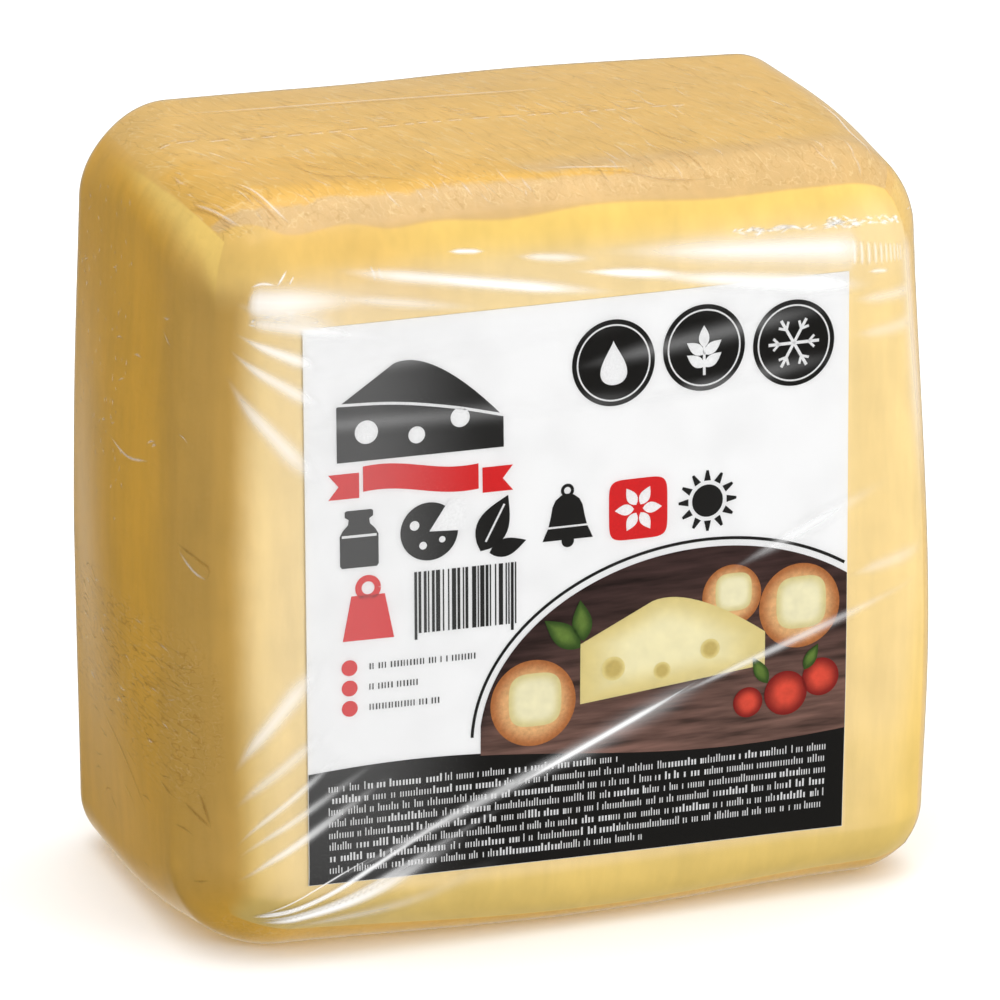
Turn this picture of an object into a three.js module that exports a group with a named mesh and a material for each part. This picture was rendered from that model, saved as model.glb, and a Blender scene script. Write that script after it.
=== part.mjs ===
// A one kilogram block of semi-hard cheese, shrunk tight in clear film, with a square printed label
// under the film on its front. Millimetres, +Z up, the label faces -Y, the block stands on z = 0 and
// the origin is under the middle of its box.
import * as THREE from "three";
import { mergeVertices } from "three/addons/utils/BufferGeometryUtils.js";

// Driving dimensions of the block, before its corners settle
const BLOCK_WIDTH = 116;
const BLOCK_DEPTH = 71.5;
const BLOCK_HEIGHT = 116.5;
const EDGE_RADIUS = 7.5; // rounding of an edge far from its corners

// Each corner of the soft block: how far it is rounded, and how far it has slumped from a true box.
// The foot corners stay level, so that the block stands flat.
const CORNERS = {
  frontLeftFoot: { side: [-1, -1, -1], radius: 17.5, slump: [-2, -0.5, 0] },
  frontRightFoot: { side: [1, -1, -1], radius: 11.5, slump: [3.5, 0.5, 0] },
  backLeftFoot: { side: [-1, 1, -1], radius: 8.5, slump: [0, -3, 0] },
  backRightFoot: { side: [1, 1, -1], radius: 13, slump: [-4, 0, 0] },
  frontLeftTop: { side: [-1, -1, 1], radius: 14, slump: [0, 1, 1] },
  frontRightTop: { side: [1, -1, 1], radius: 14.5, slump: [0.5, 1.5, -1] },
  backLeftTop: { side: [-1, 1, 1], radius: 16, slump: [1, 0.5, 3] },
  backRightTop: { side: [1, 1, 1], radius: 8.5, slump: [2, 0, -0.5] },
};
const CORNER_FADE = 3; // how fast a corner's rounding gives way to the edge's

// How far each face swells in its middle
const SWELL = { right: 1.2, left: 3, back: 1, front: 1, top: 1.4 };

// Small rises and dips of the pressed surface: a place on the box, each coordinate from -1 to 1, how
// far it reaches as a share of the half size, and its height along the way out
const UNEVEN = {
  backTopDip: { at: [-0.25, 1, 1], reach: 0.35, height: -0.9 },
  leftBump: { at: [-1, 1, -0.1], reach: 0.12, height: 0.5 },
  rightLowSwell: { at: [1, -0.6, -0.45], reach: 0.5, height: 0.9 },
  topHollow: { at: [0.1, -0.1, 1], reach: 0.45, height: -0.8 },
  frontFootHollow: { at: [0.7, -1, -0.9], reach: 0.4, height: -0.9 },
};

const BLOCK_STEPS = 26; // squares along each side of each face
const EDGE_CROWDING = 0.75; // share of the sine spacing that crowds the squares towards the edges

// The label, square on to the front: its left edge and foot are measured from the middle of the
// block's foot. Shrinking has skewed its foot: up at the left end and down at the right.
const LABEL = { left: -42.5, foot: 12, width: 86.5, height: 87, footRise: 1 };
const LABEL_STEPS = 18;
const LAYER_GAP = 0.3; // clear space between one printed layer and the next
const LABEL_THICK = 0.25;
const PRINT_THICK = 0.15;
const LABEL_LEVEL = LAYER_GAP;
const PRINT_LEVEL = LABEL_LEVEL + LABEL_THICK + LAYER_GAP;
const PICTURE_LEVEL = PRINT_LEVEL + PRINT_THICK + LAYER_GAP;

// Fields of the print, in millimetres across and up from the label's lower left corner
const BAND = { height: 17, wave: 1.6, waves: 0.85, phase: 0.08, inset: 0.4, columns: 24, rows: 4 };
const ROUNDEL_RADIUS = 6.6;
const ROUNDELS = { left: [48.5, 77], middle: [63, 77.8], right: [77.5, 77] };
const ROUNDEL_SIDES = 32;
const BOARD = {
  at: [63, 20],
  halfWide: 36,
  halfHigh: 27,
  reach: 0.995, // share of the half width where the left end is cut
  inset: 0.4,
  columns: 26,
  crowding: 1.6, // above 1 the columns crowd to the steep left end
  rows: 8,
};
// A wedge of cheese seen from the side: its heel, its tip and its crown, and the height of its cut
const BOARD_WEDGE = {
  heel: [43, 24.5],
  tip: [73, 27.5],
  crown: [54.5, 39.5],
  cut: 9.5,
  holes: [
    [48.3, 29.6, 1.9],
    [56.2, 28.4, 1.4],
    [64, 31, 1.6],
  ],
};
const EMBLEM_WEDGE = {
  heel: [5, 66],
  tip: [31, 66],
  crown: [14, 80.5],
  cut: 8.5,
  holes: [
    [9.6, 70.4, 1.8],
    [17.4, 69.2, 1.3],
    [24.2, 71.2, 1.5],
  ],
};

const finish = {
  cheese: new THREE.MeshStandardMaterial({ color: 0xf2c873, roughness: 0.35, metalness: 0 }),
  paper: new THREE.MeshStandardMaterial({ color: 0xf6f6f5, roughness: 0.45, metalness: 0 }),
  blackInk: new THREE.MeshStandardMaterial({ color: 0x1c1c1b, roughness: 0.4, metalness: 0 }),
  boardInk: new THREE.MeshStandardMaterial({ color: 0x5a4038, roughness: 0.45, metalness: 0 }),
  wedgeInk: new THREE.MeshStandardMaterial({ color: 0xf0e2a4, roughness: 0.45, metalness: 0 }),
};

const half = [BLOCK_WIDTH / 2, BLOCK_DEPTH / 2, BLOCK_HEIGHT / 2];

// Zero at a face's edges and one in its middle, with no slope at either
const hump = (q) => (1 - q * q) ** 2;

// The share of a corner at a place on the box, as in a trilinear blend
function cornerShare(place, side) {
  return place.reduce((share, q, axis) => share * (1 + side[axis] * q) * 0.5, 1);
}

// A point of the block's skin, for a place on the surface of the cube from -1 to 1. The place is
// taken to the box, drawn in by the local radius and pushed out again by it, which rounds the edges
// and corners. Then it is slumped and swollen, but never below the floor.
function skinPoint(place) {
  const [x, y, z] = place;
  const shift = [
    (x > 0 ? SWELL.right : -SWELL.left) * hump(y) * hump(z) * Math.abs(x) ** 3,
    (y > 0 ? SWELL.back : -SWELL.front) * hump(x) * hump(z) * Math.abs(y) ** 3,
    z > 0 ? SWELL.top * hump(x) * hump(y) * z ** 3 : 0,
  ];
  const steady = place.map((q) => Math.sin((q * Math.PI) / 2)); // hardly changes near a corner
  let radius = EDGE_RADIUS;
  for (const corner of Object.values(CORNERS)) {
    radius += cornerShare(steady, corner.side) ** CORNER_FADE * (corner.radius - EDGE_RADIUS);
    const share = cornerShare(place, corner.side);
    corner.slump.forEach((slump, axis) => (shift[axis] += share * slump));
  }
  let lift = 0;
  for (const { at, reach, height } of Object.values(UNEVEN)) {
    const away = Math.hypot(...place.map((q, axis) => q - at[axis])) / reach;
    lift += height * Math.exp(-away * away);
  }
  const core = place.map((q, axis) => {
    const reach = half[axis] - radius;
    return THREE.MathUtils.clamp(q * half[axis], -reach, reach);
  });
  const out = new THREE.Vector3(...place.map((q, axis) => q * half[axis] - core[axis])).normalize();
  const skin = core.map((q, axis) => q + out.getComponent(axis) * (radius + lift) + shift[axis]);
  return new THREE.Vector3(skin[0], skin[1], Math.max(skin[2] + half[2], 0));
}

// How far forward the front skin lies at x across and z up: the place on the front face is moved
// until its point stands there.
function frontY(x, z) {
  const place = [x / half[0], -1, z / half[2] - 1];
  let point = skinPoint(place);
  for (let turn = 0; turn < 12; turn++) {
    place[0] = THREE.MathUtils.clamp(place[0] + (x - point.x) / half[0], -1, 1);
    place[2] = THREE.MathUtils.clamp(place[2] + (z - point.z) / half[2], -1, 1);
    point = skinPoint(place);
  }
  return point.y;
}

// A closed surface from a geometry whose corners may be doubled at its seams
function closed(geometry) {
  geometry.deleteAttribute("normal");
  geometry.deleteAttribute("uv");
  const merged = mergeVertices(geometry, 1e-4);
  merged.computeVertexNormals();
  return merged;
}

// Moves every vertex by a function from a vector to a vector
function reshaped(geometry, move) {
  const position = geometry.getAttribute("position");
  for (let i = 0; i < position.count; i++) {
    const moved = move(new THREE.Vector3().fromBufferAttribute(position, i));
    position.setXYZ(i, moved.x, moved.y, moved.z);
  }
  return geometry;
}

function piece(name, geometry, material) {
  const mesh = new THREE.Mesh(geometry, material);
  mesh.name = name;
  return mesh;
}

// The whole wrapped block: a cube of squares, crowded towards its edges, taken to the skin
function wrappedBlock() {
  const crowd = (q) => (1 - EDGE_CROWDING) * q + EDGE_CROWDING * Math.sin((q * Math.PI) / 2);
  const cube = closed(new THREE.BoxGeometry(2, 2, 2, BLOCK_STEPS, BLOCK_STEPS, BLOCK_STEPS));
  reshaped(cube, (v) => skinPoint([v.x, v.y, v.z].map(crowd)));
  cube.computeVertexNormals();
  return cube;
}

// Takes a flat layer to the front of the block. It is drawn across (x) and up (y) from the label's
// lower left corner, and z runs from its back to its face.
function laidOnFront(flat, level) {
  return reshaped(flat, (v) => {
    const x = LABEL.left + v.x;
    const skew = LABEL.footRise * (1 - (2 * v.x) / LABEL.width) * (1 - v.y / LABEL.height);
    const z = LABEL.foot + v.y + skew;
    return new THREE.Vector3(x, frontY(x, z) - level - v.z, z);
  });
}

// A rectangle of squares with a thickness, from its lower left corner
function gridLayer(width, height, thick, columns, rows) {
  const slab = new THREE.BoxGeometry(width, height, thick, columns, rows, 1);
  return closed(slab.translate(width / 2, height / 2, thick / 2));
}

// A flat outline with a thickness
function outlineLayer(shape, thick) {
  return closed(new THREE.ExtrudeGeometry(shape, { depth: thick, bevelEnabled: false, steps: 1 }));
}

function labelSheet() {
  const sheet = gridLayer(LABEL.width, LABEL.height, LABEL_THICK, LABEL_STEPS, LABEL_STEPS);
  return laidOnFront(sheet, LABEL_LEVEL);
}

// Height of the dark band's wavy top above the label's foot
function bandTop(across) {
  return BAND.height + BAND.wave * Math.sin(2 * Math.PI * ((across / LABEL.width) * BAND.waves + BAND.phase));
}

function printBand() {
  const width = LABEL.width - 2 * BAND.inset;
  const flat = gridLayer(width, 1, PRINT_THICK, BAND.columns, BAND.rows);
  reshaped(flat, (v) => {
    const across = v.x + BAND.inset;
    const up = BAND.inset + v.y * (bandTop(across) - BAND.inset);
    return new THREE.Vector3(across, up, v.z);
  });
  return laidOnFront(flat, PRINT_LEVEL);
}

function printRoundel([across, up]) {
  const disc = new THREE.Shape();
  for (let i = 0; i < ROUNDEL_SIDES; i++) {
    const turn = (2 * Math.PI * i) / ROUNDEL_SIDES;
    const [x, y] = [across + ROUNDEL_RADIUS * Math.cos(turn), up + ROUNDEL_RADIUS * Math.sin(turn)];
    if (i) disc.lineTo(x, y);
    else disc.moveTo(x, y);
  }
  return laidOnFront(outlineLayer(disc, PRINT_THICK), PRINT_LEVEL);
}

// The printed serving board: an ellipse cut off by the label's right edge and by the dark band. Its
// columns stand on the band and reach up to the ellipse.
function printBoard() {
  const [acrossMiddle, upMiddle] = BOARD.at;
  const brim = (across) =>
    upMiddle + BOARD.halfHigh * Math.sqrt(1 - ((across - acrossMiddle) / BOARD.halfWide) ** 2);
  const left = acrossMiddle - BOARD.halfWide * BOARD.reach;
  const right = LABEL.width - BOARD.inset;
  const flat = gridLayer(1, 1, PRINT_THICK, BOARD.columns, BOARD.rows);
  reshaped(flat, (v) => {
    const across = left + (right - left) * v.x ** BOARD.crowding;
    const low = bandTop(across) + LAYER_GAP;
    return new THREE.Vector3(across, low + (brim(across) - low) * v.y, v.z);
  });
  return laidOnFront(flat, PRINT_LEVEL);
}

// A printed wedge of cheese with its round holes
function printWedge({ heel, tip, crown, cut, holes }, level) {
  const wedge = new THREE.Shape();
  wedge.moveTo(...heel);
  wedge.lineTo(...tip);
  wedge.lineTo(tip[0], tip[1] + cut * 0.55);
  wedge.quadraticCurveTo(crown[0] + 6, crown[1] + 2, ...crown);
  wedge.lineTo(heel[0], heel[1] + cut);
  for (const [across, up, radius] of holes) {
    const hole = new THREE.Path();
    hole.absarc(across, up, radius, 0, 2 * Math.PI, true);
    wedge.holes.push(hole);
  }
  return laidOnFront(outlineLayer(wedge, PRINT_THICK), level);
}

const pack = new THREE.Group();
pack.add(piece("wrapped_block", wrappedBlock(), finish.cheese));
pack.add(piece("label", labelSheet(), finish.paper));
pack.add(piece("print_band", printBand(), finish.blackInk));
for (const [name, middle] of Object.entries(ROUNDELS)) {
  pack.add(piece(`print_roundel_${name}`, printRoundel(middle), finish.blackInk));
}
pack.add(piece("print_emblem", printWedge(EMBLEM_WEDGE, PRINT_LEVEL), finish.blackInk));
pack.add(piece("print_board", printBoard(), finish.boardInk));
pack.add(piece("print_wedge", printWedge(BOARD_WEDGE, PICTURE_LEVEL), finish.wedgeInk));

// The origin goes under the middle of the box of the whole pack
const box = new THREE.Box3().setFromObject(pack);
const middle = box.getCenter(new THREE.Vector3());
pack.position.set(-middle.x, -middle.y, -box.min.z);

export default pack;
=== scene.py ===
"""A one kilogram block of young yellow cheese in clear shrink film, with a printed label on its front.

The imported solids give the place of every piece. Each piece here is worked out on the same skin as
they are, in millimetres, and taken to metres when its mesh is made.
"""

import logging
import math
from collections.abc import Mapping, Sequence
from dataclasses import dataclass, field
from enum import Enum

import bpy
import numpy as np
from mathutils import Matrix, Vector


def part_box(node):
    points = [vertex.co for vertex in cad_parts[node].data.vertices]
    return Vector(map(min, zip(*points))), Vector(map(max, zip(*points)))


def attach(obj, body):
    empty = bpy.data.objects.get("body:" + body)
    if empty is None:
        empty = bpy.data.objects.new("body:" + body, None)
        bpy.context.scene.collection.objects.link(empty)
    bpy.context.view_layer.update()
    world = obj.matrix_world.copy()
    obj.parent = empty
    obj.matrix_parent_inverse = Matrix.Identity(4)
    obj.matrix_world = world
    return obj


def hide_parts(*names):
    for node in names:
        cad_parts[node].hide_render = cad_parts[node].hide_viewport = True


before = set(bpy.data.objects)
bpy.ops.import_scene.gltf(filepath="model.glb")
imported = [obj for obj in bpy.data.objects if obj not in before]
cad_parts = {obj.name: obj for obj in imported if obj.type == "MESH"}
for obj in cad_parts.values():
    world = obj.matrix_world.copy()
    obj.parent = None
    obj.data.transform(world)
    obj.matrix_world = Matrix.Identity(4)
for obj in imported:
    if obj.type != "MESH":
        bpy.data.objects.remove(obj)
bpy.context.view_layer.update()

LOG = logging.getLogger("cheese_pack")
MM = 0.001  # metres in a millimetre
SEED = 20  # start of every random draw
NOISE_SPAN = (0.3, 0.7)  # nearly all of a noise lies between these
ON_FACE = 0.999  # a place on the cube is on a face from here on

Array = np.ndarray
Pair = tuple[float, float]
Triple = tuple[float, float, float]
Term = float | str | bpy.types.NodeSocket


# Small sums

def linear(hex_colour: str) -> tuple[float, float, float, float]:
    """Turns an sRGB hex colour to linear light.

    Args:
        hex_colour: six hex digits, with or without a leading hash.

    Returns:
        Red, green, blue and alpha, each from 0 to 1.
    """
    digits = hex_colour.lstrip("#")
    shares = [int(digits[i : i + 2], 16) / 255 for i in (0, 2, 4)]
    light = [c / 12.92 if c <= 0.04045 else ((c + 0.055) / 1.055) ** 2.4 for c in shares]
    return (*light, 1.0)


def per_metre(size_mm: float) -> float:
    """Gives the texture scale at which one feature is size_mm across."""
    return 1 / (size_mm * MM)


def smooth(values: Array, low: float, high: float) -> Array:
    """Rises smoothly from 0 at low to 1 at high: 3t squared less 2t cubed."""
    t = np.clip((values - low) / (high - low), 0, 1)
    return t * t * (3 - 2 * t)


def unit(vectors: Array) -> Array:
    """Scales each vector of the last axis to length 1."""
    return vectors / np.maximum(np.linalg.norm(vectors, axis=-1, keepdims=True), 1e-12)


def curve_through(controls: Array, count: int) -> Array:
    """Samples a smooth curve through control points.

    Each span is a cubic whose end slopes are the mean slopes of its neighbours, and the samples
    are evenly spaced along the chords.

    Args:
        controls: the points, one row each.
        count: how many samples to return.

    Returns:
        The samples, one row each.
    """
    chords = np.linalg.norm(np.diff(controls, axis=0), axis=1)
    at = np.concatenate([[0.0], np.cumsum(chords)])
    slopes = np.gradient(controls, at, axis=0)
    wanted = np.linspace(0, at[-1], count)
    span = np.clip(np.searchsorted(at, wanted, side="right") - 1, 0, len(chords) - 1)
    width = chords[span][:, None]
    t = (wanted - at[span])[:, None] / width
    return (
        (2 * t**3 - 3 * t**2 + 1) * controls[span]
        + (t**3 - 2 * t**2 + t) * width * slopes[span]
        + (3 * t**2 - 2 * t**3) * controls[span + 1]
        + (t**3 - t**2) * width * slopes[span + 1]
    )


# Meshes

def grid_quads(rows: int, columns: int, start: int = 0) -> Array:
    """Joins a grid of points, stored row after row, with quads.

    Args:
        rows: rows of points.
        columns: points in a row.
        start: number of the first point.

    Returns:
        Four point numbers to a quad, anticlockwise where rows run up and columns run right.
    """
    low = start + np.arange(rows - 1)[:, None] * columns + np.arange(columns - 1)
    return np.stack([low, low + 1, low + columns + 1, low + columns], -1).reshape(-1, 4)


def make_piece(
    name: str,
    points: Array,
    faces: Sequence[Array],
    fields: Mapping[str, Array] | None = None,
) -> bpy.types.Object:
    """Makes a smooth mesh object at the origin, with its place in its mesh.

    Args:
        name: the piece's name.
        points: corners in millimetres, one row each, in the frame.
        faces: arrays of corner numbers, one row to a face, each array of triangles or of quads.
        fields: numbers to keep at each point, by name, for its material to read.

    Returns:
        The new object.
    """
    loops = np.concatenate([f.ravel() for f in faces]).astype(np.int32)
    totals = np.concatenate([np.full(len(f), f.shape[1]) for f in faces]).astype(np.int32)
    starts = np.concatenate([[0], np.cumsum(totals)[:-1]]).astype(np.int32)
    mesh = bpy.data.meshes.new(name)
    mesh.vertices.add(len(points))
    mesh.vertices.foreach_set("co", (points * MM).astype(np.float32).ravel())
    mesh.loops.add(len(loops))
    mesh.loops.foreach_set("vertex_index", loops)
    mesh.polygons.add(len(totals))
    mesh.polygons.foreach_set("loop_start", starts)
    mesh.update(calc_edges=True)
    mesh.validate()
    mesh.polygons.foreach_set("use_smooth", np.ones(len(mesh.polygons), bool))
    for field_name, values in (fields or {}).items():
        kept = mesh.attributes.new(field_name, "FLOAT", "POINT")
        kept.data.foreach_set("value", values.astype(np.float32).ravel())
    piece = bpy.data.objects.new(name, mesh)
    bpy.context.scene.collection.objects.link(piece)
    return piece


def settle(
    piece: bpy.types.Object,
    material: bpy.types.Material,
    stands_for: Sequence[str] = (),
) -> None:
    """Dresses a piece, lets it ride on the pack's one body and reports it.

    Args:
        piece: the finished object.
        material: its finish.
        stands_for: the CAD nodes that it replaces.
    """
    piece.data.materials.append(material)
    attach(piece, "root")
    if stands_for:
        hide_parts(*stands_for)
    triangles = sum(len(p.vertices) - 2 for p in piece.data.polygons)
    LOG.info("%s: %d triangles", piece.name, triangles)


# Node trees

def add_node(
    tree: bpy.types.NodeTree,
    kind: str,
    settings: Mapping[str | int, object] | None = None,
    links: Mapping[str | int, bpy.types.NodeSocket] | None = None,
) -> bpy.types.Node:
    """Adds one node to a tree.

    Args:
        tree: the tree.
        kind: Blender's name for the kind of node.
        settings: values for the node's properties, or for its inputs by name or number.
        links: sockets to join to its inputs, by the input's name or number.

    Returns:
        The new node.
    """
    node = tree.nodes.new(kind)
    for name, value in (settings or {}).items():
        if isinstance(name, str) and hasattr(node, name):
            setattr(node, name, value)
        else:
            node.inputs[name].default_value = value
    for name, socket in (links or {}).items():
        tree.links.new(socket, node.inputs[name])
    return node


def add_terms(
    tree: bpy.types.NodeTree, kind: str, settings: Mapping[str, object], terms: Mapping[str | int, Term]
) -> bpy.types.NodeSocket:
    """Adds a node whose inputs are given as numbers, colours or sockets, and returns its result.

    Args:
        tree: the tree.
        kind: Blender's name for the kind of node.
        settings: values for the node's properties.
        terms: for each input a number, a hex colour or a socket.

    Returns:
        The node's result for its kind of data.
    """
    links = {at: term for at, term in terms.items() if isinstance(term, bpy.types.NodeSocket)}
    rest = {at: term for at, term in terms.items() if at not in links}
    values = {at: linear(term) if isinstance(term, str) else term for at, term in rest.items()}
    node = add_node(tree, kind, {**settings, **values}, links)
    return node.outputs[2 if kind == "ShaderNodeMix" else 0]


def reckon(tree: bpy.types.NodeTree, operation: str, first: Term, second: Term = 0.0) -> bpy.types.NodeSocket:
    """Adds a Math node and returns its result."""
    return add_terms(tree, "ShaderNodeMath", {"operation": operation}, {0: first, 1: second})


def mixed(
    tree: bpy.types.NodeTree, share: Term, low: Term, high: Term, blend: str = "MIX"
) -> bpy.types.NodeSocket:
    """Mixes two colours: low where the share is 0 and high where it is 1."""
    settings = {"data_type": "RGBA", "blend_type": blend}
    return add_terms(tree, "ShaderNodeMix", settings, {0: share, 6: low, 7: high})


def remap(
    tree: bpy.types.NodeTree,
    value: bpy.types.NodeSocket,
    taken: Pair,
    given: Pair = (0.0, 1.0),
    eased: bool = False,
) -> bpy.types.NodeSocket:
    """Takes a value from one span to another, held at the ends, and eased there if wanted."""
    spans = {"From Min": taken[0], "From Max": taken[1], "To Min": given[0], "To Max": given[1]}
    steps = {"interpolation_type": "SMOOTHSTEP" if eased else "LINEAR"}
    return add_terms(tree, "ShaderNodeMapRange", steps, {"Value": value, **spans})


def noise_at(
    tree: bpy.types.NodeTree,
    place: bpy.types.NodeSocket,
    size_mm: float,
    detail: float,
    roughness: float = 0.5,
) -> bpy.types.NodeSocket:
    """Adds a noise whose features are size_mm across."""
    terms = {"Vector": place, "Scale": per_metre(size_mm), "Detail": detail, "Roughness": roughness}
    return add_terms(tree, "ShaderNodeTexNoise", {}, terms)


def field_of(tree: bpy.types.NodeTree, name: str) -> bpy.types.NodeSocket:
    """Reads a number that the piece keeps at its points."""
    return add_node(tree, "ShaderNodeAttribute", {"attribute_name": name}).outputs["Fac"]


def new_material(name: str) -> tuple[bpy.types.Material, bpy.types.NodeTree]:
    """Makes an empty node material and returns it with its tree."""
    material = bpy.data.materials.new(name)
    material.use_nodes = True
    material.node_tree.nodes.clear()
    return material, material.node_tree


# The block's skin

@dataclass(frozen=True)
class Corner:
    """A corner of the soft block: its side of the box, its rounding and how far it has slumped."""

    side: tuple[int, int, int]
    radius: float
    slump: Triple


@dataclass(frozen=True)
class Rise:
    """A small rise or dip of the skin: its place on the cube, its reach there and its height."""

    at: Triple
    reach: float
    height: float


class Face(Enum):
    """A face of the block, with the axis that it faces along and the side it is on."""

    LEFT = (0, -1)
    RIGHT = (0, 1)
    FRONT = (1, -1)
    BACK = (1, 1)
    TOP = (2, 1)


@dataclass(frozen=True)
class Skin:
    """The outer skin of the cheese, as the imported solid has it, in millimetres.

    A place is a point on the surface of the cube from -1 to 1. It is taken to the box, drawn in by
    the local radius and pushed out again by it, then slumped and swollen.
    """

    size: Triple = (116.0, 71.5, 116.5)
    edge_radius: float = 7.5
    corner_fade: float = 3.0
    swell: tuple[Pair, Pair, Pair] = ((3.0, 1.2), (1.0, 1.0), (0.0, 1.4))
    corners: tuple[Corner, ...] = (
        Corner((-1, -1, -1), 17.5, (-2, -0.5, 0)),
        Corner((1, -1, -1), 11.5, (3.5, 0.5, 0)),
        Corner((-1, 1, -1), 8.5, (0, -3, 0)),
        Corner((1, 1, -1), 13, (-4, 0, 0)),
        Corner((-1, -1, 1), 14, (0, 1, 1)),
        Corner((1, -1, 1), 14.5, (0.5, 1.5, -1)),
        Corner((-1, 1, 1), 16, (1, 0.5, 3)),
        Corner((1, 1, 1), 8.5, (2, 0, -0.5)),
    )
    rises: tuple[Rise, ...] = (
        Rise((-0.25, 1, 1), 0.35, -0.9),
        Rise((-1, 1, -0.1), 0.12, 0.5),
        Rise((1, -0.6, -0.45), 0.5, 0.9),
        Rise((0.1, -0.1, 1), 0.45, -0.8),
        Rise((0.7, -1, -0.9), 0.4, -0.9),
    )

    @property
    def half(self) -> Array:
        """Half of the block's size."""
        return np.array(self.size) / 2

    @staticmethod
    def on_cube(vectors: Array) -> Array:
        """Takes any vectors out to the surface of the cube, by their largest coordinate."""
        return vectors / np.maximum(np.abs(vectors).max(-1, keepdims=True), 1e-9)

    def place(self, face: Face, across: Array, up: Array) -> Array:
        """Gives places on one face.

        Args:
            face: the face.
            across: millimetres from the face's middle, along x, or along y on the left and right.
            up: millimetres from its middle, along z, or along y on the top.

        Returns:
            Places on the cube.
        """
        axis, side = face.value
        others = [i for i in range(3) if i != axis]
        across, up = np.broadcast_arrays(across, up)
        places = np.empty((*across.shape, 3))
        places[..., axis] = side
        places[..., others[0]] = across / self.half[others[0]]
        places[..., others[1]] = up / self.half[others[1]]
        return self.on_cube(places)

    def at(self, places: Array) -> tuple[Array, Array]:
        """Gives the skin's points and its outward directions at places on the cube.

        The swell of a face is (1 - q squared) squared of both other coordinates, times the cube
        of its own. The radius is the edge's, plus each corner's excess times that corner's share
        to a power, where the share is trilinear in sin(q pi / 2). A slump is shared trilinearly,
        and a rise fades as exp(-(distance / reach) squared).

        Args:
            places: places on the cube, one row each.

        Returns:
            Points in millimetres above the floor, and unit vectors outwards.
        """
        half = self.half
        hump = (1 - places**2) ** 2
        shift = np.zeros_like(places)
        for axis, (below, above) in enumerate(self.swell):
            q = places[..., axis]
            others = hump[..., (axis + 1) % 3] * hump[..., (axis + 2) % 3]
            shift[..., axis] = np.where(q > 0, above, -below) * others * np.abs(q) ** 3
        steady = np.sin(places * np.pi / 2)
        radius = np.full(places.shape[:-1], self.edge_radius)
        for corner in self.corners:
            side = np.array(corner.side)
            near = np.prod((1 + side * steady) / 2, -1) ** self.corner_fade
            radius += near * (corner.radius - self.edge_radius)
            shift += np.prod((1 + side * places) / 2, -1)[..., None] * np.array(corner.slump)
        lift = np.zeros_like(radius)
        for rise in self.rises:
            away = np.linalg.norm(places - np.array(rise.at), axis=-1) / rise.reach
            lift += rise.height * np.exp(-(away**2))
        reach = half - radius[..., None]
        core = np.clip(places * half, -reach, reach)
        out = unit(places * half - core)
        points = core + out * (radius + lift)[..., None] + shift
        points[..., 2] = np.maximum(points[..., 2] + half[2], 0)
        return points, out

    def nearest(self, targets: Array, places: Array, turns: int = 6) -> Array:
        """Finds the places whose skin lies under target points.

        Each turn moves a place by what its skin still misses the target by, as a share of the
        half size, and takes it back to the cube.

        Args:
            targets: points near the skin.
            places: a first guess for each.
            turns: how many times to move.

        Returns:
            Places on the cube.
        """
        for _ in range(turns):
            missed = (targets - self.at(places)[0]) / self.half
            places = self.on_cube(places + missed)
        return places


def cube_lattice(steps: tuple[int, int, int], crowding: float) -> tuple[Array, list[Array]]:
    """Covers the cube from -1 to 1 with a closed lattice of quads.

    The spacing is part even and part that of sin(q pi / 2), which crowds the squares towards the
    cube's edges.

    Args:
        steps: squares along x, y and z.
        crowding: the sine's share of the spacing.

    Returns:
        Places, one row each, and the quads, wound outwards.
    """
    spans = np.array(steps) + 1
    quads = []
    for axis in range(3):
        u, v = (axis + 1) % 3, (axis + 2) % 3
        across, up = np.meshgrid(np.arange(spans[u]), np.arange(spans[v]), indexing="ij")
        for side in (0, 1):
            corner = np.empty((*across.shape, 3), int)
            corner[..., axis] = side * steps[axis]
            corner[..., u] = across
            corner[..., v] = up
            key = (corner[..., 0] * spans[1] + corner[..., 1]) * spans[2] + corner[..., 2]
            quad = np.stack([key[:-1, :-1], key[1:, :-1], key[1:, 1:], key[:-1, 1:]], -1)
            quads.append((quad if side else quad[..., ::-1]).reshape(-1, 4))
    keys, numbers = np.unique(np.concatenate(quads), return_inverse=True)
    corners = np.stack([keys // (spans[1] * spans[2]), keys // spans[2] % spans[1], keys % spans[2]], -1)
    even = 2 * corners / np.array(steps) - 1
    places = (1 - crowding) * even + crowding * np.sin(even * np.pi / 2)
    return places, [numbers.reshape(-1, 4)]


@dataclass
class Pack:
    """Where the skin stands in the frame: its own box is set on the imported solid's."""

    skin: Skin = field(default_factory=Skin)
    shift: Array = field(default_factory=lambda: np.zeros(3))

    def __post_init__(self) -> None:
        """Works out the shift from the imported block's lowest corner."""
        places, _ = cube_lattice((60, 60, 60), 0.75)
        own = self.skin.at(places)[0].min(0)
        packed = np.array(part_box("wrapped_block")[0]) / MM
        self.shift = np.array([packed[0] - own[0], packed[1] - own[1], 0.0])

    def lifted(self, places: Array, level: Array | float) -> Array:
        """Gives frame points at a level in millimetres above the skin."""
        points, out = self.skin.at(places)
        return points + out * np.asarray(level)[..., None] + self.shift


# Flat shapes of the print

@dataclass(frozen=True)
class Flat:
    """A flat shape on the label: corners across and up in millimetres, its faces and a tone."""

    points: Array
    faces: tuple[Array, ...]
    tone: Array


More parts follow.
